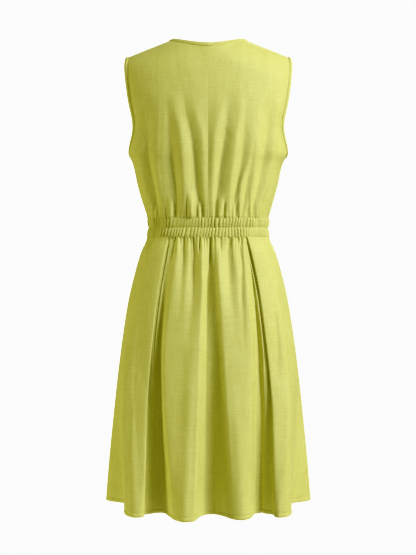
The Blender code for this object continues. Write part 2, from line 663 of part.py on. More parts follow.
def main():
    clear_scene()
    dress = bpy.data.collections.new("a_line_dress")
    bpy.context.scene.collection.children.link(dress)
    build_bodice(dress)
    build_bindings(dress)
    build_waistband(dress)
    build_skirt(dress)


main()
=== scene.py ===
"""The a-line dress as it looks: linen cloth on the form of its solids, with its creases and sewing.

Metres, +Z up, in the part's own frame: the back of the dress is at +Y, the wearer's left is +X, and the
origin is the middle of the neck opening. In every function side is 1 at the back and -1 at the front.
"""

import math
from collections import namedtuple

import bpy
import numpy as np
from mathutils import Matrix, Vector


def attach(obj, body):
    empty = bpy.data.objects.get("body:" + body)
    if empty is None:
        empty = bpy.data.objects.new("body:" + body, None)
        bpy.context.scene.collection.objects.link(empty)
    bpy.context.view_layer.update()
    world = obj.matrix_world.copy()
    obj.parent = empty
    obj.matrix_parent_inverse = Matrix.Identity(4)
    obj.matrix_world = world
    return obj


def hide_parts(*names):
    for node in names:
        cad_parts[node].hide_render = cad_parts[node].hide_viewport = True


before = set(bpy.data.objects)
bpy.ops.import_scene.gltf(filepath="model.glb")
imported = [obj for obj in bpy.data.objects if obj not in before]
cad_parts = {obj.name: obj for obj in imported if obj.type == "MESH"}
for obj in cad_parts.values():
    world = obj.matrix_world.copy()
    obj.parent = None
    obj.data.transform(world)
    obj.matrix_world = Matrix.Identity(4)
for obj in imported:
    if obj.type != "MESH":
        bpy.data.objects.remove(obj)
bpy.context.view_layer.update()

# ---- The part's own sizes ----

SQUARENESS = 2.3
NECK_POINT_Z = 0.019
SHOULDER_TIP_Z = -0.0215
BACK_NECK_Z = 0.0005
FRONT_NECK_Z = -0.153
ARMHOLE_WIDEST_Z = -0.14
UNDERARM_Z = -0.231
BAND_TOP_Z = -0.3725
BAND_MIDDLE_Z = -0.393
BAND_BOTTOM_Z = -0.414
HEM_Z = -0.9885
NECK_POINT_X = 0.078
SHOULDER_TIP_X = 0.181
SIDE_SEAM_ANGLE = 86.0
NECK_CURVE_BACK = 1.7
NECK_CURVE_FRONT = 1.08
SHOULDER_ROLL = 0.075
ARMHOLE_BACK = 0.41
ARMHOLE_FRONT = 0.44
BINDING_WIDTH = 0.007
BINDING_SHOWN = 0.0085  # its width with the fold of the cloth beside it


def metres(value):
    """A length in millimetres, or a row of them, in metres."""
    return tuple(metres(v) for v in value) if isinstance(value, tuple) else round(value / 1000.0, 7)


def table(kind, rows, plain=()):
    """Rows in millimetres as named tuples in metres, but for the plain columns."""
    made = []
    for row in rows:
        made.append(kind(*(v if name in plain else metres(v) for name, v in zip(kind._fields, row))))
    return tuple(made)


Section = namedtuple("Section", ("height", "half_width", "back_depth", "front_depth"))
SECTIONS = table(Section, (
    (22, 192.5, 74, 60),
    (-20, 192, 86, 78),
    (-40, 193.2, 92, 85),
    (-64, 190.8, 98, 91),
    (-117, 183, 107, 104),
    (-183, 170, 109, 121),
    (-222, 173, 107, 125),
    (-232, 172.8, 106, 125),
    (-250, 164, 104, 122),
    (-301, 151.5, 99, 112),
    (-354, 136.5, 94, 102),
    (-372, 131, 92, 99),
    (-393, 128.8, 91, 98),
    (-414, 132, 94, 100),
    (-447, 146.5, 102, 107),
    (-499, 161.8, 113, 118),
    (-552, 173.9, 123, 127),
    (-605, 182.7, 130, 134),
    (-711, 197, 140, 145),
    (-816, 208.2, 147, 152),
    (-900, 216.4, 152, 157),
    (-989, 223.6, 156, 161),
))

# Large folds of the skirt: across at four heights, how far out at the hem, where each begins, how fast
# it grows from there (plain), and how far out it already lies at the band.
FOLD_COLUMNS = ("name", "at_band", "at_hip", "at_thigh", "at_hem", "out", "begins", "growth", "lift")
FOLD_PLAIN = ("name", "growth")
Fold = namedtuple("Fold", FOLD_COLUMNS, defaults=(0.0,))
FOLD_HEIGHTS = (BAND_BOTTOM_Z, -0.5, -0.62, HEM_Z)
BACK_FOLDS = table(Fold, (
    ("side_hollow", 130, 157, 178.5, 212, -36, -700, 1.15),
    ("flap_side", 126, 152, 173, 185, -18, -700, 1.15, 0.8),
    ("flap_outer", 121, 143, 162, 155.5, 24.5, -560, 0.95, 2.2),
    ("flap_ridge", 115, 134.5, 150, 140, 30.2, -500, 1.15, 4),
    ("flap_inner", 110, 128, 143.5, 131, 25, -480, 1.35, 5),
    ("pleat_left", 83.5, 99, 114, 125, 18, -440, 1.5),
    ("valley_left", 77, 93, 107, 112, -21, -500, 0.7),
    ("valley_left_end", 72, 87, 101, 100, -23, -500, 0.8),
    ("rise_left", 66, 80, 93, 80, 1, -500, 1.0),
    ("ridge_left", 60, 72, 85, 64, 26.5, -460, 1.2),
    ("ridge_left_top", 42, 46, 54, 45, 36.8, -460, 1.55),
    ("ridge_left_end", 20, 15, 19, 29, 32, -440, 1.25),
    ("ridge_left_fall", 10, 6.5, 9, 16, -5, -440, 1.0),
    ("middle", -2, 0.5, 3, 4, -21.5, -440, 0.95),
    ("middle_end", -9, -7, -6, -9, -24.5, -440, 1.15),
    ("rise_right", -15, -15, -18, -29, -11, -440, 1.15),
    ("ridge_right", -21, -24, -32, -54, 21, -440, 0.95),
    ("ridge_right_top", -45, -50, -60, -68, 24.6, -440, 1.3),
    ("ridge_right_end", -62, -75, -86, -85, 12.5, -440, 0.85),
    ("valley_right", -70, -87, -99, -105, -17, -460, 0.8),
    ("valley_right_end", -76, -94, -108, -118, -20.5, -460, 0.6),
    ("pleat_right", -82, -100.5, -117.2, -127, 19, -440, 0.88),
    ("flap_inner_right", -109, -129.5, -146.5, -134, 28.2, -480, 1.05, 5),
    ("flap_ridge_right", -115, -136, -153, -142, 29.6, -500, 0.9, 4),
    ("flap_outer_right", -121, -143.5, -163, -156, 24, -580, 1.15, 2.2),
    ("flap_side_right", -126, -150, -174, -185, -18, -700, 1.15, 0.8),
    ("side_hollow_right", -130, -156, -179, -212, -36, -700, 1.15),
), FOLD_PLAIN)
FRONT_FOLDS = table(Fold, (
    ("hollow_right", -126, -152, -168, -198, -20, -560, 1.15),
    ("ridge_side_right", -108, -125, -144, -162, 24, -460, 1.15),
    ("valley_right", -80, -93, -102, -109, -22, -440, 1.15),
    ("ridge_right", -50, -56, -60, -62, 24, -430, 1.15),
    ("middle", -12, -13, -10, 2, -21, -460, 1.15),
    ("ridge_left", 27, 33, 44, 56, 23, -430, 1.15),
    ("valley_left", 64, 79, 93, 104, -23, -440, 1.15),
    ("ridge_side_left", 98, 120, 137, 155, 24, -470, 1.15),
    ("hollow_left", 123, 150, 170, 197, -21, -580, 1.15),
), FOLD_PLAIN)

# Knife pleats: how far under the flap's edge each layer lies, and its height in pitches.
PLEATS = ("pleat_left", "pleat_right")
PLEAT_LAP = 0.022
PLEAT_TURN = 0.0012
PLEAT_PITCH = 0.0032
PLEAT_FOLDED_Z = -0.6
PLEAT_OPEN_Z = -0.8
PLEAT_OPEN_START = 0.003
PLEAT_OPEN_RUN = 0.009
PLEAT_OPEN_DEPTH = 0.034
PLEAT_UNDERCUT = 0.007
PLEAT_CLEAR = 0.002
PRESSED_SHARE = 0.3
PRESSED_REACH = 0.03
PLEAT_FADE = 0.006
PleatLayer = namedtuple("PleatLayer", ("under", "height"))
PLEAT_LAYERS = (
    PleatLayer(PLEAT_LAP + 0.002, 1.66),
    PleatLayer(0.009, 2.0),
    PleatLayer(PLEAT_TURN, 1.78),
    PleatLayer(0.0, 1.48),
    PleatLayer(PLEAT_TURN, 1.2),
    PleatLayer(PLEAT_LAP - PLEAT_TURN, 0.95),
    PleatLayer(PLEAT_LAP, 0.52),
    PleatLayer(PLEAT_LAP - PLEAT_TURN, 0.1),
    PleatLayer(PLEAT_LAP - 0.012, 0.0),
    PleatLayer(-0.0006, 0.0),
    PleatLayer(-0.0022, -1.5),
    PleatLayer(-0.0042, 0.0),
)

# ---- What the scene adds ----

CLOTH = 0.0011  # thickness of the shell
BAND_CLOTH = 0.0009
BODICE_INSET = BINDING_WIDTH - 0.0015  # from the binding's edge to the bodice's
BODICE_FOOT = 0.003  # how far it goes under the band
BODICE_ROWS = (64, 26, 12, 40)  # steps below the armhole, in its turn, beside it and over the shoulder
BACK_COLUMNS = (44, 88)  # steps under the neck and under the shoulder
FRONT_COLUMNS = (40, 80)
TOP_STEPS = 60
SMALLEST_STEP = 0.0002
HEM_DEPTH = 0.0085  # stitched fold along the hem
HEM_ROOM = 0.006  # between it and the plain rows
HEM_ROWS = np.array(metres((11.8, 10.2, 9.3, 8.5, 7.7, 6.8, 5.2, 3.6, 2.2, 1.1, 0.4, 0)))
SKIRT_TOP_ROWS = metres((-3, -1.2, -0.4, 0.4, 1.2, 2.6))
SKIRT_TOP_OUT = 0.0012  # how far out the gathers lie just under the band
SKIRT_TOP_REACH = 0.02
BODICE_FOOT_OUT = 0.001  # and just above it
BODICE_FOOT_REACH = 0.015
SKIRT_TOP_DEPTH = 0.075  # where the finer rows below the band end
SKIRT_TOP_START = 0.0045
SKIRT_FINE_ROWS = 32
SKIRT_BODY_ROWS = 70
Span = namedtuple("Span", ("start", "length"))
Tuck = namedtuple("Tuck", ("start", "length", "out"))
BODICE_TUCK = Tuck(-0.0015, 0.003, -0.0008)  # where the cloth turns into the band, and how far in
SKIRT_TUCK = Tuck(-0.0012, 0.0024, -0.001)
PANEL_FADE = Span(0.9, 0.09)  # shares of a bodice panel over which its creases end
RUMPLE_FADE = Span(0.9, 0.08)
HEM_PUFF = 0.0005
HEM_GROOVE = 0.0006
HEM_GROOVE_SPREAD = 0.0014
HEM_TURN = 0.0012
HEM_TURN_SPREAD = 0.0016
BAND_WAVES = 54  # waves in each half of a waistband channel
BAND_WAVE_COLUMNS = 14
BAND_CHANNEL_ROWS = 14
BAND_PUFF_POWER = 0.6
BAND_OUT = 0.0008
BAND_PUFF = 0.0018
BAND_WAVE = 0.004
BAND_TUCK_LEVEL = 0.6  # the gathers' middle level, and how sharp they are
BAND_TUCK_POWER = 0.65
BAND_EDGE_SHARE = 0.45  # how much of the gathers is left at the stitched lines
BAND_LOWER_PHASE = 0.9
BandNoise = namedtuple("BandNoise", ("cell", "amount", "plain", "upper_seed", "lower_seed"))
BAND_DRIFT = BandNoise(0.021, 3.6, 0.0, 0, 5)
BAND_LEAN = BandNoise(0.034, 110.0, -115.0, 3, 9)
BAND_SIZE = BandNoise(0.011, 0.8, 0.85, 20, 21)
BAND_STITCHES = (BAND_BOTTOM_Z + 0.0012, BAND_MIDDLE_Z, BAND_TOP_Z - 0.0012)
SEAM_DIP = 0.00017
SEAM_SPREAD = 0.0018
SEAM_REACH = 0.012  # how far from a side seam the cloth is plain

# A crease runs from its foot to its head in a soft bow: across at the foot, half way and at the head,
# the height of its head, its width, how far out (+) or in (-), the height of its foot, and how square its
# profile is. Rows in millimetres give the first six, and the last where it differs from the others'.
Crease = namedtuple("Crease", ("foot", "half", "head", "head_z", "width", "out", "foot_z", "square"))


def crease_rows(foot_z, square, rows):
    return tuple(Crease(*metres(row[:6]), metres(foot_z), *(row[6:] or (square,))) for row in rows)


BODICE_BACK_CREASES = crease_rows(-374, 1.5, (  # short gathers above the band
    (108.5, 109.8, 112, -340, 2.6, 2.4),
    (100.8, 101.8, 103.2, -335, 2.6, 2.7),
    (77.5, 79, 81.5, -325, 3.4, 3.9),
    (71.5, 73, 75, -330, 2, -3.6),
    (60, 60.4, 61, -340, 2.2, 2.1),
    (44.7, 44.7, 45, -318, 2.2, -3.6),
    (36, 36.5, 38.4, -308, 5, 6.6),
    (18.8, 19.6, 21, -335, 2.6, 3.3),
    (13.2, 13.4, 14, -335, 2.1, -4.2),
    (-24.7, -26, -27.8, -320, 4.2, 5.4),
    (-31.8, -33.5, -35.2, -328, 2.1, -3.3),
    (-58.2, -59.4, -61, -332, 2, -3.6),
    (-77, -78.4, -80.2, -330, 2.6, 2.7),
    (-82, -82.8, -84, -342, 1.8, -2.8),
    (-109, -111, -114, -336, 2.6, 2.4),
))

# Crest and valley lines that run through a panel: across and out at each of the heights.
Swing = namedtuple("Swing", ("across", "out"))
SWING_SHARPNESS = 0.35
BODICE_BACK_HEIGHTS = (-0.3725, -0.3458, -0.3037, -0.2511, -0.1984, -0.1458, -0.102)
BODICE_BACK_SWINGS = table(Swing, (
    ((112, 121, 137.4, 143.7, 151.8, 156, 158), (0.8, 2.2, 3.4, 3.6, 2.2, 0.5, 0)),
    ((104.5, 110, 118.4, 126.9, 131.1, 135.3, 137), (-2.4, -5, -6.4, -4.6, -3.6, -1.2, 0)),
    ((92.5, 95.3, 101.6, 108, 106, 104, 105), (1, 2.4, 4.2, 3.4, 2.6, 1.5, 0)),
    ((84.5, 86.9, 93.2, 98.5, 96, 94.5, 96.5), (0.2, 0.8, 2, 1.8, 1.3, 0.9, 0)),
    ((64.5, 66.5, 70, 76.3, 80.5, 84.8, 88), (-2, -4, -5.6, -5.6, -3.2, -0.3, 0)),
    ((50, 50.5, 50, 53.2, 57.4, 67.9, 74), (1.4, 3.2, 4.8, 5.4, 4.8, 2.6, 0)),
    ((17.5, 20, 25.8, 30, 36.3, 46.8, 51), (-2.3, -3.8, -5.2, -5.1, -4.3, -2.5, 0)),
    ((6, 6.5, 8.9, 11.1, 13.2, 25.8, 31), (0.3, 1.2, 1.9, 2, 2.3, 1.2, 0)),
    ((0, 0, 0, 0, 0, 0, 0), (0, 0, -0.4, -0.7, -1, -0.6, 0)),
    ((-9.5, -7.9, -7.9, -10, -14.2, -22.6, -27), (1.2, 1.2, 1.2, 2.5, 2.2, 1.6, 0)),
    ((-16.3, -16.3, -20.5, -26.8, -35.3, -41.6, -46), (-1.7, -3.2, -5.2, -4.9, -4.1, -2.2, 0)),
    ((-43, -43.7, -45.8, -52.1, -58.4, -66.9, -72), (1.7, 2.5, 4.2, 4.6, 4.1, 1.6, 0)),
    ((-52.5, -53, -60.5, -71.1, -75.3, -79.5, -83), (-0.9, -1.9, -2.8, -2.6, -1.3, 0.4, 0)),
    ((-64.5, -66, -69, -85, -93, -96, -99), (0.7, 1.6, 2.5, 1.9, 1.9, 1.2, 0)),
    ((-73.5, -75.5, -81.6, -91.5, -97.5, -100, -103), (-1.4, -2, -2.6, 0.8, 2, 1.2, 0)),
    ((-87.5, -87.9, -94.2, -98.4, -102, -104, -107), (0.7, 1.7, 1.4, 1.6, 2, 1.2, 0)),
    ((-94, -96.3, -106.9, -117.4, -125.8, -130, -133), (-1.2, -2.2, -3.6, -5, -4.4, -2, 0)),
    ((-100, -106, -121.6, -134.2, -142.7, -147, -150), (2, 3.4, 3.8, 3.2, 2.2, 0.8, 0)),
    ((-107.5, -118, -136.3, -144, -152, -155, -157), (-1.8, -3, -3.4, -2.4, -2, -1.2, 0)),
))
SKIRT_BACK_HEIGHTS = (-0.414, -0.43, -0.451, -0.472, -0.5234, -0.5858, -0.66)
SKIRT_BACK_SWINGS = table(Swing, (
    ((83.5, 86, 89.5, 94.5, 106, 113, 116), (0, 0, 0, 0, 0, 0, 0)),
    ((69, 74.5, 80, 84, 93, 99, 106), (-0.4, -1.4, -1.7, -1.4, -0.9, -0.6, 0)),
    ((60, 63.5, 65.6, 67.7, 71.2, 77.5, 84), (0.7, 2.9, 3.9, 4.3, 3.2, 1.4, 0)),
    ((52, 53, 53, 53.5, 56, 59, 64), (-0.9, -2.3, -2.9, -2.5, -0.6, 0.3, 0)),
    ((43, 44, 44, 44.6, 48.4, 51, 56), (0.6, 1.2, 0.6, 0.3, 0.7, 0.4, 0)),
    ((32, 32, 30.5, 32, 31.7, 35.9, 40), (-1.2, -3.5, -4.8, -6, -6, -3.4, 0)),
    ((16.5, 15.2, 13.5, 13.1, 12, 17.2, 21.3), (1, 4.4, 5.2, 5.5, 3.3, 0.3, 0)),
    ((-3.5, -3.5, -4.5, -1.5, 3.5, 5.2, 5.2), (-0.9, -3.4, -4.4, -5.2, -5.4, -2.6, 0)),
    ((-18.4, -18.4, -19, -20.5, -24.4, -28.6, -31), (0.9, 2.9, 3.8, 4.6, 5.2, 2.3, 0)),
    ((-43, -43.6, -42, -43.6, -45.5, -53.6, -58), (-0.9, -3.5, -3.9, -4.1, -2.3, -0.7, 0)),
    ((-54, -56, -55.5, -58.3, -61.5, -64, -66), (0.3, 0.7, 1, 1.6, 0.7, 0, 0)),
    ((-64, -66.7, -68.8, -70.9, -69, -71.5, -72), (-0.6, -2, -2.3, -1.6, -1.2, -0.6, 0)),
    ((-71.5, -73.5, -75.1, -77.2, -78.5, -80, -81), (0.3, 1, 1.4, 2.2, 3, 1.8, 0)),
    ((-81.5, -85, -91.5, -98.5, -106, -111, -116), (0, -0.3, -0.6, -0.7, -0.7, 0, 0)),
))
BODICE_FRONT_LINES = crease_rows(-372, 2.0, (
    (-109, -119, -131, -205, 8, -4.2),
    (-90, -97, -106, -225, 6.5, 3.6, 1.8),
    (-70, -74.5, -80, -190, 8, -4.8),
    (-48, -53.5, -58, -210, 8, 5, 1.8),
    (-25, -28.5, -33, -215, 7.5, -4.3),
    (-3, -2, -1, -240, 7.5, 3.6),
    (19, 23, 28, -220, 7.5, -4.3, 1.8),
    (43, 49.5, 56, -205, 7.5, 5, 1.8),
    (64, 71, 77, -195, 7, -4.8, 1.8),
    (86, 95.5, 106, -220, 7.5, 3.7),
    (106, 117, 129, -200, 8, -4.2),
))
BODICE_FRONT_GATHERS = crease_rows(-374, 1.8, (  # short gathers above the band
    (-102, -104, -106.5, -334, 2.3, 2.4),
    (-79, -80.5, -82, -328, 2.3, 2.5),
    (-60, -61.2, -62.5, -336, 2.2, 2.3),
    (-37, -38, -39.2, -324, 2.4, 2.7),
    (-14, -14.3, -14.8, -334, 2.2, 2.4),
    (8.5, 8.8, 9.2, -330, 2.3, 2.5),
    (31, 32, 33.2, -322, 2.4, 2.7),
    (54, 55.3, 56.8, -334, 2.2, 2.4),
    (75, 76.8, 78.5, -326, 2.3, 2.5),
    (96, 98, 100.2, -332, 2.3, 2.4),
))
BODICE_FRONT_CREASES = BODICE_FRONT_LINES + BODICE_FRONT_GATHERS
SKIRT_BACK_GATHERS = crease_rows(-412, 1.5, (  # short gathers below the band
    (68.4, 75.5, 83.1, -480, 2, -2.6),
    (51.3, 51.5, 51.8, -438, 1.8, -2),
    (31.6, 31.6, 31.8, -440, 2, -2.3),
    (23.2, 22.8, 22.2, -460, 2.2, 1.8),
    (17.7, 17.7, 17.8, -452, 1.9, -6.2),
    (-4.7, -4.4, -3.6, -480, 1.9, -6.2),
    (-23, -23.5, -24, -446, 2.2, -2.9),
    (-35, -35, -35.2, -450, 2.6, 1.8),
    (-45.3, -45.2, -45, -440, 1.8, -2),
    (-50.5, -50, -49.5, -450, 2, 1.8),
    (-70.5, -70, -70, -438, 1.8, -1.8),
    (116.5, 122.5, 129, -470, 2.6, -1.8, 1.8),
    (-113.5, -116.5, -120, -450, 2.4, -1.6, 1.8),
))
SKIRT_BACK_CENTRE = crease_rows(-418, 1.5, (
    (-7, -8.5, -9, -485, 2.2, 2.9),
))
SKIRT_BACK_LINES = crease_rows(-985, 2.0, (  # long soft lines that run up from the hem
    (169, 167.2, 162.5, -500, 8.5, 4.6),
    (148, 149, 150, -560, 7, -1.4),
    (104, 103, 100, -580, 7, -3.6),
    (64, 60.5, 56, -600, 8, -1.2),
    (44, 37, 28.5, -560, 8, 4.2),
    (-62, -58, -50, -690, 8.5, 3.4),
    (-96.5, -98.5, -103.5, -590, 8, -6.6),
))
SKIRT_BACK_CREASES = SKIRT_BACK_GATHERS + SKIRT_BACK_CENTRE + SKIRT_BACK_LINES
SKIRT_FRONT_CREASES = crease_rows(-414, 1.8, (
    (-99, -108, -118, -520, 4.5, -3.6),
    (-86, -92, -98, -500, 4, 3.1),
    (-66, -72, -78, -560, 5, 3.9),
    (-52, -56, -60, -500, 3.6, -3.4),
    (-37, -40, -43, -520, 4.5, -3.9),
    (-23, -24.5, -26, -550, 5, 3.9),
    (-8, -8.5, -9, -500, 3.8, -3.4),
    (4, 5, 6, -530, 4.5, 3.6),
    (17, 19, 21, -510, 3.8, -3.6),
    (40, 45.5, 51, -560, 5, -3.9),
    (53, 61, 69, -520, 5, 3.9),
    (67, 73, 79, -490, 3.6, -3.4),
    (79, 87.5, 96, -550, 4.6, 3.6),
    (92, 99, 106, -500, 3.6, -3.1),
    (111, 122, 133, -530, 4.5, -3.6),
))
CREASE_SPREADING = 0.6  # how much wider a crease is at its head
CREASE_FADE = 0.5  # the share of its length over which it dies out
CREASE_LEAD = 0.25  # how far below its foot it begins, and over what share it grows
CREASE_GROWTH = 0.45

# Uneven gathers beside the band: a main wave and a finer one.
Wave = namedtuple("Wave", ("spacing", "out", "length"))
Sway = namedtuple("Sway", ("amount", "per_metre", "start"))
GATHERS = (Wave(0.0145, 0.0007, 0.026), Wave(0.0068, 0.0014, 0.019))
EDGE_DIP = 0.0018  # soft valley beside the armhole bindings
EDGE_DIP_AT = 0.935
EDGE_DIP_SPREAD = 0.024
EDGE_DIP_FOOT = Span(-0.02, 0.05)  # heights over the underarm in which it begins
Rumple = namedtuple("Rumple", ("out", "across", "along"))
RUMPLES = (Rumple(0.0003, 0.016, 0.055), Rumple(0.00018, 0.008, 0.022), Rumple(0.00035, 0.045, 0.11))
BINDING_SIDES = 16
BINDING_SIDE = 0.001  # flat width of one side
BINDING_SQUARE = 0.55  # powers that square its section, across and up
BINDING_SQUARE_UP = 0.7
BINDING_OVER = 0.0003
BINDING_MIDDLE = 0.0012
BINDING_RISE = 0.0019
BINDING_LINE = 0.62  # place of its stitches, as a share of the half width
BINDING_LINE_RISE = 0.00285
BINDING_GROOVE = 0.0005
BINDING_GROOVE_FROM = 0.2
BINDING_GROOVE_SPREAD = 0.18
NECK_STEPS = 60
NECK_PLACES = 460
ARMHOLE_STEPS = (26, 12, 26)
ARMHOLE_PLACES = 360
STITCH_RISE = 0.00005  # how far the thread lies over the cloth
PUCKER = Wave(0.0068, 0.00013, 0.011)
PUCKER_SWAY = Sway(1.3, 90.0, 0.0)
PUCKER_UNEVEN = 0.0001
GATHER_SWAYS = (Sway(1.7, 55.0, 0.0), Sway(0.9, 131.0, 1.0))
GATHER_LENGTH_SWAY = Sway(0.5, 210.0, 0.6)


def eased(t):
    """0 below 0, 1 above 1, and a smooth step between."""
    t = np.clip(t, 0.0, 1.0)
    return t * t * (3.0 - 2.0 * t)


def hermite(start, end, t, span, leaving, arriving):
    """A smooth curve between two knots, from the slopes at them."""
    bend = t * (1.0 - t) ** 2 * leaving + t * t * (t - 1.0) * arriving
    return start + (end - start) * eased(t) + span * bend


def curve_through(knots, values):
    """A smooth curve through values at knots that rise or fall."""
    order = np.argsort(knots)
    knots, values = np.asarray(knots, float)[order], np.asarray(values, float)[order]
    slopes = np.gradient(values, knots)

    def at(place):
        place = np.clip(place, knots[0], knots[-1])
        i = np.clip(np.searchsorted(knots, place) - 1, 0, len(knots) - 2)
        span = knots[i + 1] - knots[i]
        return hermite(values[i], values[i + 1], (place - knots[i]) / span, span, slopes[i], slopes[i + 1])

    return at


def level_curve(knots, values, counts):
    """Values between knots, so many in each span, on a curve that never passes its neighbours."""
    step = np.maximum(np.diff(knots), 1e-6)
    rise = np.diff(values) / step
    slope = np.zeros_like(values)
    same = rise[:-1] * rise[1:] > 0.0
    mean = 2.0 * rise[:-1] * rise[1:] / np.where(same, rise[:-1] + rise[1:], 1.0)
    slope[1:-1] = np.where(same, mean, 0.0)
    slope[0], slope[-1] = rise[0], rise[-1]
    i = np.repeat(np.arange(len(counts)), counts)
    t = np.concatenate([np.arange(n) / n for n in counts])
    inside = hermite(values[i], values[i + 1], t, step[i], slope[i], slope[i + 1])
    return np.append(inside, values[-1])


def section_curve(name):
    return curve_through([row.height for row in SECTIONS], [getattr(row, name) for row in SECTIONS])


half_width = section_curve("half_width")
back_depth = section_curve("back_depth")
front_depth = section_curve("front_depth")


def ring(angle, z):
    """Points and outward normals on the oval at a height, at angles from the middle of the back."""
    sine, cosine = np.sin(angle), np.cos(angle)
    width = half_width(z)
    depth = np.where(cosine >= 0.0, back_depth(z), front_depth(z))
    power = 2.0 / SQUARENESS
    x = width * np.sign(sine) * np.abs(sine) ** power
    y = depth * np.sign(cosine) * np.abs(cosine) ** power
    nx = np.sign(sine) * (np.abs(x) / width) ** (SQUARENESS - 1.0) / width
    ny = np.sign(cosine) * (np.abs(y) / depth) ** (SQUARENESS - 1.0) / depth
    length = np.hypot(nx, ny)
    return x, y, nx / length, ny / length


def angle_at(across, width, side):
    """The ring's angle at a distance across."""
    turn = math.asin(min(abs(across) / width, 1.0) ** (SQUARENESS / 2.0))
    turn = math.copysign(turn, across)
    return turn if side > 0 else math.pi - turn


def creases_out(creases, x, z):
    """How far the creases of one panel move the cloth out."""
    out = np.zeros_like(x)
    for crease in creases:
        t = (z - crease.foot_z) / (crease.head_z - crease.foot_z)
        within = np.clip(t, 0.0, 1.0)
        bow = 4.0 * crease.half - 2.0 * (crease.foot + crease.head)
        middle = crease.foot + (crease.head - crease.foot) * within + bow * within * (1.0 - within)
        spread = crease.width * (1.0 + CREASE_SPREADING * within)
        shape = np.exp(-(np.abs((x - middle) / spread) ** crease.square))
        fade = 1.0 - eased((t - 1.0 + CREASE_FADE) / CREASE_FADE)
        out += crease.out * shape * fade * eased((t + CREASE_LEAD) / CREASE_GROWTH)
    return out


def swings_out(heights, swings, x, z):
    """How far the cloth is out between its crest and valley lines, which are in order from the left."""
    across = [curve_through(heights, swing.across)(z) for swing in swings]
    outs = [curve_through(heights, swing.out)(z) for swing in swings]
    out = outs[0] + 0.0 * x
    for k in range(len(swings) - 1):
        t = np.clip((across[k] - x) / np.maximum(across[k] - across[k + 1], 1e-4), 0.0, 1.0)
        out += (outs[k + 1] - outs[k]) * (SWING_SHARPNESS * t + (1.0 - SWING_SHARPNESS) * eased(t))
    return out


def swayed(sway, x):
    return sway.amount * np.sin(x * sway.per_metre + sway.start)


def gathers_out(x, z, foot_z):
    """Uneven gathers that fade away from the band."""
    out = np.zeros_like(x)
    shift = sum(swayed(sway, x) for sway in GATHER_SWAYS)
    for wave in GATHERS:
        fade = np.exp(-np.abs(z - foot_z) / (wave.length * (1.0 + swayed(GATHER_LENGTH_SWAY, x))))
        out += wave.out * np.sin(2.0 * math.pi * x / wave.spacing + shift) * fade
    return out


NOISE_CELLS = 64
NOISE_START = 500.0


def soft_noise(u, v, cell_u, cell_v, seed):
    """Smooth noise from -1 to 1 over the flat cloth, with cells of the given size."""
    lattice = np.random.default_rng(seed).uniform(-1.0, 1.0, (NOISE_CELLS, NOISE_CELLS))
    a, b = u / cell_u + NOISE_START, v / cell_v + NOISE_START
    i, j = np.floor(a).astype(int), np.floor(b).astype(int)
    s, t = eased(a - i), eased(b - j)
    left, right, low, high = (n % NOISE_CELLS for n in (i, i + 1, j, j + 1))
    below = lattice[left, low] * (1.0 - s) + lattice[right, low] * s
    above = lattice[left, high] * (1.0 - s) + lattice[right, high] * s
    return below * (1.0 - t) + above * t


def rumples(u, v, seed):
    """Faint unevenness of worn linen, longer down the cloth than across it."""
    return sum(r.out * soft_noise(u, v, r.across, r.along, seed + k) for k, r in enumerate(RUMPLES))


def over(span, value):
    """0 before a span, 1 after it, and a smooth step in it."""
    return eased((value - span.start) / span.length)


def tucked(out, tuck, inside):
    """How far out the cloth is where it turns into the band, from how far inside the band it is."""
    share = over(tuck, inside)
    return out * (1.0 - share) + tuck.out * share


# ---- Meshes ----

def running(steps):
    """The way along a line before and after each of its steps."""
    return np.concatenate([[0.0], np.cumsum(steps)])


def unit(vectors):
    return vectors / np.linalg.norm(vectors, axis=-1, keepdims=True)


def sampled(line, along, places):
    return np.stack([np.interp(places, along, line[:, k]) for k in range(3)], axis=1)


def flat_cut(points):
    """Each point's place on the flat cloth: the way along its row from the middle column, and height."""
    steps = np.linalg.norm(np.diff(points[..., :2], axis=1), axis=-1)
    along = np.concatenate([np.zeros((len(points), 1)), np.cumsum(steps, axis=1)], axis=1)
    along -= along[:, [points.shape[1] // 2]]
    return np.stack([along, points[..., 2], np.zeros_like(along)], axis=-1)


def put(name, data):
    item = bpy.data.objects.new(name, data)
    bpy.context.scene.collection.objects.link(item)
    return item


def add_mesh(name, points, faces, cut, material):
    mesh = bpy.data.meshes.new(name)
    mesh.from_pydata(points.reshape(-1, 3).tolist(), [], faces.tolist())
    mesh.attributes.new("cut", "FLOAT_VECTOR", "POINT").data.foreach_set("vector", cut.ravel())
    mesh.shade_smooth()
    mesh.materials.append(material)
    return put(name, mesh)


def grid_faces(rows, columns, ring_rows=False, ring_columns=False):
    index = np.arange(rows * columns).reshape(rows, columns)
    if ring_rows:
        index = np.vstack([index, index[:1]])
    if ring_columns:
        index = np.hstack([index, index[:, :1]])
    corners = index[:-1, :-1], index[:-1, 1:], index[1:, 1:], index[1:, :-1]
    return np.stack(corners, axis=-1).reshape(-1, 4)


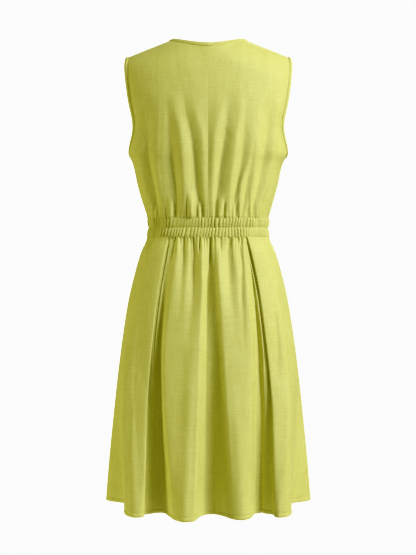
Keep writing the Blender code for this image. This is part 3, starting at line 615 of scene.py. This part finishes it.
def shell(name, points, normals, cut, material, thick=CLOTH):
    """A closed cloth shell whose inner face is the grid of points. Its narrow rim is shaded flat."""
    rows, columns = points.shape[:2]
    count = rows * columns
    index = np.arange(count).reshape(rows, columns)
    edge = np.concatenate([index[0, :-1], index[:-1, -1], index[-1, :0:-1], index[:0:-1, 0]])
    ahead = np.roll(edge, -1)
    face = grid_faces(rows, columns)
    rim = np.stack([ahead + count, edge + count, edge, ahead], axis=-1)
    both = np.concatenate([points.reshape(-1, 3), (points + normals * thick).reshape(-1, 3)])
    cuts = np.concatenate([cut.reshape(-1, 3)] * 2)
    item = add_mesh(name, both, np.concatenate([rim, face[:, ::-1], face + count]), cuts, material)
    mesh = item.data
    mesh.polygons.foreach_set("use_smooth", np.arange(len(mesh.polygons)) >= len(rim))
    ends = np.empty(2 * len(mesh.edges), int)
    mesh.edges.foreach_get("vertices", ends)
    ends = ends.reshape(-1, 2)
    same_face = ends[:, 0] // count == ends[:, 1] // count
    mesh.edges.foreach_set("use_edge_sharp", np.isin(ends % count, edge).all(axis=1) & same_face)
    return item


def surface_normals(points, turn=1.0):
    normals = np.cross(np.gradient(points, axis=1), np.gradient(points, axis=0))
    return turn * normals / np.maximum(np.linalg.norm(normals, axis=-1, keepdims=True), 1e-12)


def resampled(line, *others, pitch):
    """Points at an even pitch along a line, with the values that go with them."""
    along = running(np.linalg.norm(np.diff(line, axis=0), axis=1))
    places = np.arange(0.5 * pitch, along[-1], pitch)
    return [sampled(v, along, places) for v in (line, *others)]


def stitches(name, lines, material, pitch=0.0034, length=0.0025, radius=0.00021):
    """Rows of thread: each line is points on the cloth with the cloth's normals."""
    sides, shape = 5, ((-0.5, 0.35), (-0.32, 1.0), (0.32, 1.0), (0.5, 0.35))
    points, faces, count = [], [], 0
    turn = np.arange(sides) * 2.0 * math.pi / sides
    for line, normals in lines:
        places, ups = resampled(line, normals, pitch=pitch)
        ahead = unit(np.gradient(places, axis=0))
        across = unit(np.cross(ahead, ups))
        ups = np.cross(across, ahead)
        for place, a, b, c in zip(places, ahead, across, ups):
            for at, wide in shape:
                ring_points = place + a * at * length + np.outer(np.cos(turn), b) * radius * wide
                points.append(ring_points + np.outer(np.sin(turn), c) * radius * wide)
            for r in range(len(shape) - 1):
                low = count + r * sides
                for k in range(sides):
                    n = (k + 1) % sides
                    faces.append((low + k, low + n, low + sides + n, low + sides + k))
            count += len(shape) * sides
    points = np.concatenate(points)
    return add_mesh(name, points, np.array(faces), points.copy(), material)


# ---- Bodice ----

def shoulder_z(x):
    slope = (NECK_POINT_Z - SHOULDER_TIP_Z) / (SHOULDER_TIP_X - NECK_POINT_X)
    return NECK_POINT_Z - slope * (np.abs(x) - NECK_POINT_X)


def armhole_share(z, side, inset):
    """How far the armhole's edge is from the shoulder line, as a share of the depth there."""
    if side > 0:
        widest = ARMHOLE_BACK + inset / back_depth(ARMHOLE_WIDEST_Z)
    else:
        widest = ARMHOLE_FRONT + inset / front_depth(ARMHOLE_WIDEST_Z)
    lowest = UNDERARM_Z - inset
    drop = np.clip((ARMHOLE_WIDEST_Z - z) / (ARMHOLE_WIDEST_Z - lowest), 0.0, 1.0)
    return np.where(z > lowest, widest * np.sqrt(1.0 - drop**2), 0.0)


def rolled(x, z):
    t = np.clip((shoulder_z(x) - z) / SHOULDER_ROLL, 0.0, 1.0)
    return np.sqrt(1.0 - (1.0 - t) ** 2)


def panel_edge(z, side, inset):
    return np.arccos(armhole_share(z, side, inset) ** (SQUARENESS / 2.0))


def bodice_plain(fraction, z, side, inset):
    """A point of the unfolded bodice. fraction runs from 0 in the middle to 1 at the edge."""
    angle = panel_edge(z, side, inset) * np.abs(fraction)
    depth = back_depth(z) if side > 0 else front_depth(z)
    x = np.sign(fraction) * half_width(z) * np.sin(angle) ** (2.0 / SQUARENESS)
    y = side * depth * np.cos(angle) ** (2.0 / SQUARENESS) * rolled(x, z)
    return np.stack([x, y, z + 0.0 * x], axis=-1)


def neck_fraction(side, inset):
    corner = NECK_POINT_X + inset
    corner_z = shoulder_z(corner)
    turn = np.arcsin((corner / half_width(corner_z)) ** (SQUARENESS / 2.0))
    return float(turn / panel_edge(corner_z, side, inset))


def neck_z(x, side, inset):
    corner = NECK_POINT_X + inset
    t = np.clip(np.abs(x) / corner, 0.0, 1.0)
    if side > 0:
        middle, curve = BACK_NECK_Z - inset, NECK_CURVE_BACK
    else:
        steepness = math.hypot(NECK_POINT_X, NECK_POINT_Z - FRONT_NECK_Z) / NECK_POINT_X
        middle, curve = FRONT_NECK_Z - inset * steepness, NECK_CURVE_FRONT
    return middle + (shoulder_z(corner) - middle) * t**curve


def top_z(fraction, side, inset):
    z = np.full_like(fraction, SHOULDER_TIP_Z)
    on_neck = np.abs(fraction) < neck_fraction(side, inset) - 1e-6
    for _ in range(TOP_STEPS):
        x = bodice_plain(fraction, z, side, inset)[..., 0]
        z = 0.5 * z + 0.5 * np.where(on_neck, neck_z(x, side, inset), shoulder_z(x))
    return z


def edge_heights(side, inset, below, turn, straight, upper):
    """Heights up the side seam and the armhole: so many steps below it, in its turn, beside and above."""
    tip = float(top_z(np.array([1.0]), side, inset)[0])
    lowest = UNDERARM_Z - inset
    foot = BAND_TOP_Z - BODICE_FOOT
    turned = np.sin(np.linspace(0.5 * math.pi, 0.0, turn + 1))
    raised = np.cos(np.linspace(0.5 * math.pi, 0.0, upper + 1))
    return np.concatenate([
        np.linspace(foot, lowest, below + 1)[:-1],
        ARMHOLE_WIDEST_Z - (ARMHOLE_WIDEST_Z - lowest) * turned,
        np.linspace(ARMHOLE_WIDEST_Z, tip - SHOULDER_ROLL, straight + 1)[1:-1],
        tip - SHOULDER_ROLL * (1.0 - raised),
    ])


def side_columns(side, inset, neck, shoulder):
    corner = neck_fraction(side, inset)
    return np.concatenate([np.linspace(0.0, corner, neck + 1), np.linspace(corner, 1.0, shoulder + 1)[1:]])


def bodice_grid(fractions, side, creases, seed):
    """A panel's points by rows from the waist up, and columns from the wearer's right to left."""
    edge = edge_heights(side, BODICE_INSET, *BODICE_ROWS)[:, None]
    foot = edge[0, 0]
    rows = np.linspace(0.0, 1.0, len(edge))[:, None]
    top = top_z(fractions, side, BODICE_INSET)[None, :]
    even = foot + (top - foot) * rows
    follows = foot + (edge - foot) * (top - foot) / (edge[-1] - foot)
    z = even + (follows - even) * eased(np.abs(fractions) / neck_fraction(side, BODICE_INSET))[None, :]
    points = bodice_plain(fractions[None, :] + 0.0 * z, z, side, BODICE_INSET)
    x, aside = points[..., 0], np.abs(fractions[None, :])
    cut = flat_cut(points)
    out = creases_out(creases, x, z) + gathers_out(x, z, BAND_TOP_Z)
    if side > 0:
        out += swings_out(BODICE_BACK_HEIGHTS, BODICE_BACK_SWINGS, x, z)
    out *= 1.0 - over(PANEL_FADE, aside)
    beside = np.exp(-(((aside - EDGE_DIP_AT) / EDGE_DIP_SPREAD) ** 2))
    out -= EDGE_DIP * beside * over(EDGE_DIP_FOOT, z - UNDERARM_Z)
    uneven = rumples(cut[..., 0], cut[..., 1], seed) * (1.0 - over(RUMPLE_FADE, aside))
    out += uneven * (eased(np.abs(x) / SEAM_REACH) if side > 0 else 1.0)
    out += BODICE_FOOT_OUT * np.exp(-np.abs(z - BAND_TOP_Z) / BODICE_FOOT_REACH)
    out = tucked(out, BODICE_TUCK, BAND_TOP_Z - z)
    if side > 0:
        out -= SEAM_DIP * np.exp(-((x / SEAM_SPREAD) ** 2))
    normals = surface_normals(points, -float(side)) * np.array([1.0, 1.0, 0.0])
    return points + out[..., None] * normals, cut


def neck_line(inset, count):
    back = np.linspace(0.0, neck_fraction(1, inset), count + 1)
    front = np.linspace(0.0, neck_fraction(-1, inset), count + 1)[:-1]
    back = np.concatenate([-back[:0:-1], back])
    front = np.concatenate([front[::-1], -front[1:]])
    return np.concatenate([
        bodice_plain(back, top_z(back, 1, inset), 1, inset),
        bodice_plain(front, top_z(front, -1, inset), -1, inset),
    ])


def armhole_line(hand, inset, turn, straight, upper):
    up = edge_heights(1, inset, 1, turn, straight, upper)[1:]
    down = edge_heights(-1, inset, 1, turn, straight, upper)[:1:-1][1:]
    return np.concatenate([
        bodice_plain(np.full_like(up, hand), up, 1, inset),
        bodice_plain(np.full_like(down, hand), down, -1, inset),
    ])


def even_ring(line, *others, count):
    """A closed line and those beside it, at even steps along the first."""
    closed = [np.vstack([v, v[:1]]) for v in (line, *others)]
    along = running(np.linalg.norm(np.diff(closed[0], axis=0), axis=1))
    places = np.linspace(0.0, along[-1], count, endpoint=False)
    return [sampled(v, along, places) for v in closed]


def binding(name, outer, inner, outward, material, count, seed):
    """A folded strip round an edge, between its outer and inner lines, with its row of stitches."""
    outer, inner = even_ring(outer, inner, count=count)
    middle, half = 0.5 * (outer + inner), 0.5 * (inner - outer)
    ahead = unit(np.roll(outer, -1, axis=0) - np.roll(outer, 1, axis=0))
    across = half - ahead * (half * ahead).sum(axis=1, keepdims=True)
    wide = np.linalg.norm(across, axis=1, keepdims=True)
    across /= wide
    up = np.cross(ahead, across)
    up *= np.sign((up * outward(middle)).sum(axis=1, keepdims=True))
    along = np.arange(count)[:, None] * np.linalg.norm(outer[1] - outer[0])
    pucker = PUCKER.out * np.sin(along * 2.0 * math.pi / PUCKER.spacing + swayed(PUCKER_SWAY, along))
    pucker += PUCKER_UNEVEN * soft_noise(along, 0.0 * along, PUCKER.length, 1.0, seed)
    section = []
    for turn in np.arange(BINDING_SIDES) * 2.0 * math.pi / BINDING_SIDES:
        flat = math.copysign(abs(math.cos(turn)) ** BINDING_SQUARE, math.cos(turn))
        tall = math.copysign(abs(math.sin(turn)) ** BINDING_SQUARE_UP, math.sin(turn))
        rise = BINDING_MIDDLE + BINDING_RISE * tall + pucker * max(tall, 0.0)
        if flat > BINDING_GROOVE_FROM and tall > 0.0:
            rise = rise - BINDING_GROOVE * math.exp(-(((flat - BINDING_LINE) / BINDING_GROOVE_SPREAD) ** 2))
        section.append(middle + across * (wide + BINDING_OVER) * flat + up * rise)
    points = np.stack(section, axis=1)
    cut = np.zeros_like(points)
    cut[..., 0] = along
    cut[..., 1] = np.arange(BINDING_SIDES) * BINDING_SIDE
    faces = grid_faces(count, BINDING_SIDES, ring_rows=True, ring_columns=True)
    if (np.cross(ahead[0], across[0]) @ up[0]) < 0.0:
        faces = faces[:, ::-1]
    item = add_mesh(name, points, faces, cut, material)
    line = middle + across * wide * BINDING_LINE + up * BINDING_LINE_RISE
    return item, (np.vstack([line, line[:1]]), np.vstack([up, up[:1]]))


# ---- Skirt ----

def fold_across(fold, z):
    return float(curve_through(FOLD_HEIGHTS, (fold.at_band, fold.at_hip, fold.at_thigh, fold.at_hem))(z))


def pressed(z):
    """How much of their height the pleats and flaps have, less where they enter the band."""
    return PRESSED_SHARE + (1.0 - PRESSED_SHARE) * float(eased((BAND_BOTTOM_Z - z) / PRESSED_REACH))


def pleat_layers(across, level, grown, z):
    """The turns of a knife pleat from its flap inwards, blended into the wall of an open valley."""
    opened = float(eased((PLEAT_FOLDED_Z - z) / (PLEAT_FOLDED_Z - PLEAT_OPEN_Z)))
    toward_side = math.copysign(1.0, across)
    layers = []
    for order, layer in enumerate(PLEAT_LAYERS):
        share = order / (len(PLEAT_LAYERS) - 1.0)
        lies = PLEAT_PITCH * layer.height * pressed(z) * ((1.0 - opened) ** 2 if layer.height < 0.0 else 1.0)
        shut = (across + toward_side * layer.under, lies)
        wall = PLEAT_OPEN_START - PLEAT_OPEN_RUN * share + PLEAT_UNDERCUT * math.sin(math.pi * share) ** 2
        wide = (across + toward_side * wall, level - PLEAT_OPEN_DEPTH * grown * share)
        layers.append(tuple(a + (b - a) * opened for a, b in zip(shut, wide)))
    return layers


def fold_stations(folds, z):
    """Places across and out of every fold line and pleat layer at one height."""
    stations = []
    for fold in folds:
        across = fold_across(fold, z)
        grown = max(fold.begins - z, 0.0) / (fold.begins - HEM_Z)
        level = fold.out * grown**fold.growth + fold.lift * (1.0 - grown) ** 4 * pressed(z)
        if fold.name in PLEATS:
            layers = pleat_layers(across, level, grown, z)
            stations += layers if across > 0 else layers[::-1]
        else:
            stations.append((across, level))
    return stations


def free_of_pleats(x, z):
    """1 away from the knife pleats and 0 across their layers."""
    free = np.ones_like(x)
    for fold in BACK_FOLDS:
        if fold.name in PLEATS:
            edge = fold_across(fold, z)
            middle = edge + math.copysign(PLEAT_LAP / 2.0, edge)
            free *= eased((np.abs(x - middle) - PLEAT_LAP / 2.0 - PLEAT_CLEAR) / PLEAT_FADE)
    return free


def station_lines(folds, side, z):
    """Angles and outs of one row's stations from seam to seam, and the way along them."""
    seam = math.radians(SIDE_SEAM_ANGLE)
    start, end = (seam, -seam) if side > 0 else (2.0 * math.pi - seam, seam)
    stations = fold_stations(folds, z)
    width = float(half_width(z))
    angles = np.array([start] + [angle_at(across, width, side) for across, _ in stations] + [end])
    outs = np.array([0.0] + [out for _, out in stations] + [0.0])
    x, y, nx, ny = ring(angles, z)
    steps = np.hypot(np.diff(x + nx * outs), np.diff(y + ny * outs))
    return angles, outs, running(np.maximum(steps, SMALLEST_STEP))


def joined_normals(points, cut):
    """A skirt panel's normals, turned towards the plain form's beside its seams, as on the next panel."""
    normals = surface_normals(points)
    heights = np.minimum(points[:, 0, 2], BAND_BOTTOM_Z)
    for end in (0, -1):
        seam = math.copysign(math.radians(SIDE_SEAM_ANGLE), points[0, end, 0])
        _, _, nx, ny = ring(np.full_like(heights, seam), heights)
        plain = np.stack([nx, ny, np.zeros_like(nx)], axis=-1)[:, None, :]
        near = 1.0 - eased(np.abs(cut[..., 0] - cut[:, [end], 0]) / SEAM_REACH)[..., None]
        normals = normals * (1.0 - near) + plain * near
    return unit(normals)


def skirt_grid(folds, creases, side, spacing, seed):
    """A skirt panel's points by rows from the hem up, their normals and their places on the flat cloth."""
    fine = np.linspace(SKIRT_TOP_START, SKIRT_TOP_DEPTH, SKIRT_FINE_ROWS)
    near_band = BAND_BOTTOM_Z - np.concatenate([SKIRT_TOP_ROWS, fine])
    body = np.linspace(BAND_BOTTOM_Z - SKIRT_TOP_DEPTH, HEM_Z + HEM_DEPTH + HEM_ROOM, SKIRT_BODY_ROWS)[1:]
    heights = np.concatenate([near_band, body, HEM_Z + HEM_ROWS])[::-1]
    lines = [station_lines(folds, side, min(float(z), BAND_BOTTOM_Z)) for z in heights]
    longest = np.max([np.diff(line[2]) for line in lines], axis=0)
    counts = np.maximum(np.ceil(longest / spacing), 2).astype(int)
    rows = []
    for z, (angles, outs, along) in zip(heights, lines):
        angle, out = level_curve(along, angles, counts), level_curve(along, outs, counts)
        x, y, nx, ny = ring(angle, z)
        level = np.full_like(x, z)
        small = creases_out(creases, x, level) + gathers_out(x, level, BAND_BOTTOM_Z)
        if side > 0:
            small += swings_out(SKIRT_BACK_HEIGHTS, SKIRT_BACK_SWINGS, x, level)
            small *= free_of_pleats(x, min(float(z), BAND_BOTTOM_Z))
        small += SKIRT_TOP_OUT * math.exp(min(z - BAND_BOTTOM_Z, 0.0) / SKIRT_TOP_REACH)
        out = out + tucked(small, SKIRT_TUCK, z - BAND_BOTTOM_Z)
        rows.append(np.stack([x + nx * out, y + ny * out, level], axis=-1))
    points = np.array(rows)
    cut = flat_cut(points)
    inside = np.minimum(cut[..., 0] - cut[:, [0], 0], cut[:, [-1], 0] - cut[..., 0])
    wrinkle = rumples(cut[..., 0], cut[..., 1], seed) * eased(inside / SEAM_REACH)
    above = points[..., 2] - HEM_Z
    wrinkle += HEM_PUFF * np.exp(-(((above - 0.5 * HEM_DEPTH) / (0.45 * HEM_DEPTH)) ** 4))
    wrinkle -= HEM_GROOVE * np.exp(-(((above - HEM_DEPTH) / HEM_GROOVE_SPREAD) ** 2))
    wrinkle -= HEM_TURN * np.exp(-((above / HEM_TURN_SPREAD) ** 2))
    points = points + wrinkle[..., None] * joined_normals(points, cut)
    return points, joined_normals(points, cut), cut


# ---- Waistband ----

def band_profile(z):
    """How far the two channels puff out at a height, 0 at their stitched lines."""
    low = (z - BAND_BOTTOM_Z) / (BAND_MIDDLE_Z - BAND_BOTTOM_Z)
    high = (z - BAND_MIDDLE_Z) / (BAND_TOP_Z - BAND_MIDDLE_Z)
    t = np.clip(np.where(z < BAND_MIDDLE_Z, low, high), 0.0, 1.0)
    return np.sin(math.pi * t) ** BAND_PUFF_POWER


def band_noise(noise, along, lower, seed):
    """Noise along a channel of the band. The two channels differ."""
    own = noise.lower_seed if lower else noise.upper_seed
    return noise.plain + noise.amount * soft_noise(along, 0.0 * along, noise.cell, 1.0, seed + own)


def band_grid(start, end, seed):
    """Half of the waistband: two puffed channels with uneven gathers, by rows from the bottom up."""
    angles = np.linspace(start, end, BAND_WAVE_COLUMNS * BAND_WAVES + 1)
    heights = np.concatenate([
        np.linspace(BAND_BOTTOM_Z, BAND_MIDDLE_Z, BAND_CHANNEL_ROWS)[:-1],
        np.linspace(BAND_MIDDLE_Z, BAND_TOP_Z, BAND_CHANNEL_ROWS),
    ])
    rows = []
    for z in heights:
        x, y, nx, ny = ring(angles, z)
        along = running(np.hypot(np.diff(x), np.diff(y)))
        lower = z < BAND_MIDDLE_Z
        drift = band_noise(BAND_DRIFT, along, lower, seed)
        lean = band_noise(BAND_LEAN, along, lower, seed)
        size = band_noise(BAND_SIZE, along, lower, seed)
        middle = 0.5 * (BAND_BOTTOM_Z + BAND_MIDDLE_Z) if lower else 0.5 * (BAND_MIDDLE_Z + BAND_TOP_Z)
        phase = 2.0 * math.pi * along * BAND_WAVES / along[-1] + drift + (z - middle) * lean
        tuck = np.abs(np.sin(0.5 * (phase + (BAND_LOWER_PHASE if lower else 0.0)))) ** BAND_TUCK_POWER
        puff = band_profile(z)
        share = BAND_EDGE_SHARE + (1.0 - BAND_EDGE_SHARE) * puff
        out = BAND_OUT + BAND_PUFF * puff + BAND_WAVE * size * (tuck - BAND_TUCK_LEVEL) * share
        rows.append(np.stack([x + nx * out, y + ny * out, np.full_like(x, z)], axis=-1))
    points = np.array(rows)
    return points, flat_cut(points)


# ---- Materials ----

DARK_THREAD = (0.44, 0.43, 0.042)
PALE_THREAD = (0.68, 0.675, 0.172)
THREAD_TONE = 0.62
SLUB_TONE = 0.34
MOTTLE_TONE = 0.4
SLUB_HEIGHT = 1.4
WEAVE_BUMP = 0.35
WEAVE_DEPTH = 0.0004
STREAK_ROUGHNESS = 0.6
LINEN_SURFACE = {
    "Roughness": 0.78,
    "Specular IOR Level": 0.8,
    "Sheen Weight": 0.05,
    "Sheen Roughness": 0.4,
    "Sheen Tint": (0.93, 0.95, 0.62, 1.0),
}
Streak = namedtuple("Streak", ("across", "down", "shift", "detail"))  # cells to the metre each way
STREAKS = (
    Streak(900.0, 34.0, 3.0, 2.0),  # warp
    Streak(34.0, 940.0, 17.0, 2.0),  # weft
    Streak(330.0, 11.0, 31.0, 2.0),  # slubs down
    Streak(12.0, 360.0, 47.0, 2.0),  # slubs across
    Streak(16.0, 11.0, 71.0, 3.0),  # mottle
)


def feed(tree, socket, value):
    if isinstance(value, bpy.types.NodeSocket):
        tree.links.new(value, socket)
    else:
        socket.default_value = value


def node(tree, kind, **inputs):
    made = tree.nodes.new(kind)
    for name, value in inputs.items():
        feed(tree, made.inputs[name.replace("_", " ")], value)
    return made


def math_node(tree, operation, a, b):
    made = tree.nodes.new("ShaderNodeMath")
    made.operation = operation
    feed(tree, made.inputs[0], a)
    feed(tree, made.inputs[1], b)
    return made.outputs[0]


def streaks(tree, cut, streak):
    """Noise over the flat cloth, from 0 to 1."""
    mapping = node(tree, "ShaderNodeMapping", Vector=cut)
    mapping.inputs["Scale"].default_value = (streak.across, streak.down, 1.0)
    mapping.inputs["Location"].default_value = (streak.shift, streak.shift, 0.0)
    noise = node(tree, "ShaderNodeTexNoise", Vector=mapping.outputs[0], Scale=1.0, Roughness=STREAK_ROUGHNESS)
    noise.inputs["Detail"].default_value = streak.detail
    return noise.outputs["Fac"]


def linen(name, shade, weave=1.0):
    """Woven cloth: shade scales its two colours, of the darkest and the palest threads; below 1 it darkens a
    copy of the same linen as painted shade.
    """
    material = bpy.data.materials.new(name)
    material.use_nodes = True
    tree = material.node_tree
    shader = tree.nodes["Principled BSDF"]
    for socket, value in LINEN_SURFACE.items():
        shader.inputs[socket].default_value = value
    attribute = node(tree, "ShaderNodeAttribute")
    attribute.attribute_name = "cut"
    cut = attribute.outputs["Vector"]
    warp, weft, slub_down, slub_across, mottle = (streaks(tree, cut, streak) for streak in STREAKS)
    threads = math_node(tree, "ADD", warp, weft)
    slubs = math_node(tree, "ADD", slub_down, slub_across)
    middle = THREAD_TONE + SLUB_TONE + 0.5 * MOTTLE_TONE
    tone = math_node(tree, "MULTIPLY", threads, THREAD_TONE * weave)
    tone = math_node(tree, "ADD", tone, math_node(tree, "MULTIPLY", slubs, SLUB_TONE * weave))
    tone = math_node(tree, "ADD", tone, math_node(tree, "MULTIPLY", mottle, MOTTLE_TONE * weave))
    ramp = node(tree, "ShaderNodeValToRGB", Fac=math_node(tree, "ADD", tone, 0.5 - middle * weave))
    for stop, colour in zip(ramp.color_ramp.elements, (DARK_THREAD, PALE_THREAD)):
        stop.color = (*(c * shade for c in colour), 1.0)
    tree.links.new(ramp.outputs["Color"], shader.inputs["Base Color"])
    height = math_node(tree, "ADD", threads, math_node(tree, "MULTIPLY", slubs, SLUB_HEIGHT))
    bump = node(tree, "ShaderNodeBump", Height=height, Strength=WEAVE_BUMP * weave, Distance=WEAVE_DEPTH)
    tree.links.new(bump.outputs[0], shader.inputs["Normal"])
    return material


# ---- The dress ----

def keep(item, slot, *nodes):
    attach(item, "root")
    if nodes:
        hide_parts(*nodes)
    return item


def stitch_line(points, normals, z, thick):
    """The row of a shell that is nearest to a height, just outside its cloth."""
    row = int(np.argmin(np.abs(points[:, 0, 2] - z)))
    return points[row] + normals[row] * (thick + STITCH_RISE), normals[row]


def build_bodice(material):
    half = side_columns(1, BODICE_INSET, *BACK_COLUMNS)
    front = side_columns(-1, BODICE_INSET, *FRONT_COLUMNS)
    front = np.concatenate([-front[::-1], front[1:]])
    for name, fractions, side, creases, seed, flat, area in (
        ("bodice_back_left", half, 1, BODICE_BACK_CREASES, 11, (0.215, 0.425), 0.081),
        ("bodice_back_right", -half[::-1], 1, BODICE_BACK_CREASES, 23, (0.215, 0.425), 0.081),
        ("bodice_front", front, -1, BODICE_FRONT_CREASES, 37, (0.43, 0.425), 0.15),
    ):
        points, cut = bodice_grid(fractions, side, creases, seed)
        points, cut = points[:, ::-side], cut[:, ::-side]
        normals = surface_normals(points)
        if side > 0:  # the halves meet edge to edge at the centre seam
            normals[..., 0] *= eased(np.abs(points[..., 0]) / SEAM_REACH)
        item = keep(shell(name + "_cloth", points, normals, cut, material), "linen", name)


def from_inside(points):
    """Away from the inside of the bodice."""
    return points - np.array([0.0, 0.0, -0.1])


def build_bindings(material, thread):
    lines = []
    outer, inner = neck_line(0.0, NECK_STEPS), neck_line(BINDING_SHOWN, NECK_STEPS)
    item, line = binding("neck_binding", outer, inner, from_inside, material, NECK_PLACES, 3)
    keep(item, "binding", "neck_band")
    lines.append(line)
    for hand, name, seed in ((1.0, "armhole_band_left", 7), (-1.0, "armhole_band_right", 9)):
        outer = armhole_line(hand, 0.0, *ARMHOLE_STEPS)
        inner = armhole_line(hand, BINDING_SHOWN, *ARMHOLE_STEPS)
        item, line = binding(name + "_binding", outer, inner, from_inside, material, ARMHOLE_PLACES, seed)
        keep(item, "binding", name)
        lines.append(line)
    keep(stitches("binding_stitches", lines, thread), "binding")


def build_skirt(material, thread):
    lines = []
    for name, folds, creases, side, spacing, seed, flat in (
        ("skirt_back", BACK_FOLDS, SKIRT_BACK_CREASES, 1, 0.0021, 51, (0.78, 0.6)),
        ("skirt_front", FRONT_FOLDS, SKIRT_FRONT_CREASES, -1, 0.0026, 67, (0.72, 0.6)),
    ):
        points, normals, cut = skirt_grid(folds, creases, side, spacing, seed)
        item = keep(shell(name + "_cloth", points, normals, cut, material), "linen", name)
        lines.append(stitch_line(points, normals, HEM_Z + HEM_DEPTH, CLOTH))
    keep(stitches("hem_stitches", lines, thread), "linen")


def build_waistband(material, thread):
    quarter = 0.5 * math.pi
    lines = []
    for name, start, end, seed in (
        ("waistband_back", quarter, -quarter, 101),
        ("waistband_front", 3.0 * quarter, quarter, 131),
    ):
        points, cut = band_grid(start, end, seed)
        normals = surface_normals(points)
        item = keep(shell(name + "_cloth", points, normals, cut, material, BAND_CLOTH), "waistband", name)
        lines += [stitch_line(points, normals, z, BAND_CLOTH) for z in BAND_STITCHES]
    keep(stitches("waistband_stitches", lines, thread, pitch=0.003, length=0.0022), "waistband")


cloth = linen("lime_linen", 1.0)
# The binding is the same linen made 3 % darker: painted shade on the folded strip.
bound = linen("lime_binding", 0.97, 0.8)
# The waistband is the same linen made 4 % darker: painted shade among its gathers.
banded = linen("lime_waistband", 0.96, 0.9)
thread = linen("lime_thread", 1.06, 0.3)

build_bodice(cloth)
build_bindings(bound, thread)
build_waistband(banded, thread)
build_skirt(cloth, thread)


# ---- Studio ----

FLOOR_Z = -1.43
FLOOR_RADIUS = 0.98
FLOOR_SIDES = 96
FLOOR_COLOUR = (0.86, 0.85, 0.66, 1.0)
WHITE = (1.0, 1.0, 1.0)
WARM = (1.0, 0.96, 0.6)
SEEN = 2.5  # how bright the studio looks, and how much light it casts
CAST = 0.24
LIGHT_AIM = Vector((0.0, 0.0, -0.45))
LIGHT_WAY = 3.3
Light = namedtuple("Light", ("name", "azimuth", "elevation", "size", "power", "colour"))
LIGHTS = (
    Light("key", 55.0, 31.0, 1.3, 134.0, (0.98, 1.0, 1.42)),
    Light("left_fill", -80.0, 6.0, 1.3, 52.0, (1.0, 0.99, 0.72)),
    Light("front", 172.0, 28.0, 1.6, 120.0, (0.99, 1.0, 1.25)),
)
CAMERA_AT = (0.0, 2.3, -0.409)
CAMERA_SENSOR = 36.0
CAMERA_FOCAL = 1045.35 / 555.0  # in heights of the picture
CAMERA_SHIFT = (-0.00045, -0.0766)


def build_floor():
    turn = np.arange(FLOOR_SIDES) * 2.0 * math.pi / FLOOR_SIDES
    points = np.stack([np.cos(turn), np.sin(turn), np.zeros_like(turn)], axis=1) * FLOOR_RADIUS
    points[:, 2] = FLOOR_Z
    mesh = bpy.data.meshes.new("floor")
    mesh.from_pydata(points.tolist(), [], [list(range(FLOOR_SIDES))])
    material = bpy.data.materials.new("pale_floor")
    material.use_nodes = True
    shader = material.node_tree.nodes["Principled BSDF"]
    shader.inputs["Base Color"].default_value = FLOOR_COLOUR
    shader.inputs["Roughness"].default_value = 0.7
    mesh.materials.append(material)
    put("floor", mesh)


def add_light(row):
    """A round soft light: its azimuth is in degrees from behind the dress towards the dress's right."""
    light = bpy.data.lights.new(row.name, "AREA")
    light.shape, light.size, light.energy, light.color = "DISK", row.size, row.power, row.colour
    turn, rise = math.radians(row.azimuth), math.radians(row.elevation)
    way = Vector((-math.sin(turn) * math.cos(rise), math.cos(turn) * math.cos(rise), math.sin(rise)))
    item = put(row.name, light)
    item.location = LIGHT_AIM + way * LIGHT_WAY
    item.rotation_euler = (-way).to_track_quat("-Z", "Y").to_euler()


def build_world():
    """The studio looks bright and white, and casts a soft warm light."""
    world = bpy.data.worlds.new("studio")
    bpy.context.scene.world = world
    world.use_nodes = True
    tree = world.node_tree
    tree.nodes.clear()
    path = tree.nodes.new("ShaderNodeLightPath")
    mix = tree.nodes.new("ShaderNodeMixShader")
    output = tree.nodes.new("ShaderNodeOutputWorld")
    tree.links.new(path.outputs["Is Camera Ray"], mix.inputs[0])
    for socket, colour, strength in ((1, WARM, CAST), (2, WHITE, SEEN)):
        ground = node(tree, "ShaderNodeBackground", Color=(*colour, 1.0), Strength=strength)
        tree.links.new(ground.outputs[0], mix.inputs[socket])
    tree.links.new(mix.outputs[0], output.inputs[0])


def build_camera():
    camera = bpy.data.cameras.new("camera")
    camera.sensor_fit = "VERTICAL"
    camera.sensor_height = camera.sensor_width = CAMERA_SENSOR
    camera.lens = CAMERA_FOCAL * CAMERA_SENSOR
    camera.shift_x, camera.shift_y = CAMERA_SHIFT
    camera.clip_end = 50.0
    item = put("camera", camera)
    item.location = CAMERA_AT
    item.rotation_euler = (0.5 * math.pi, 0.0, math.pi)
    bpy.context.scene.camera = item


build_floor()
build_world()
for light in LIGHTS:
    add_light(light)
build_camera()
bpy.context.scene.view_settings.view_transform = "Khronos PBR Neutral"
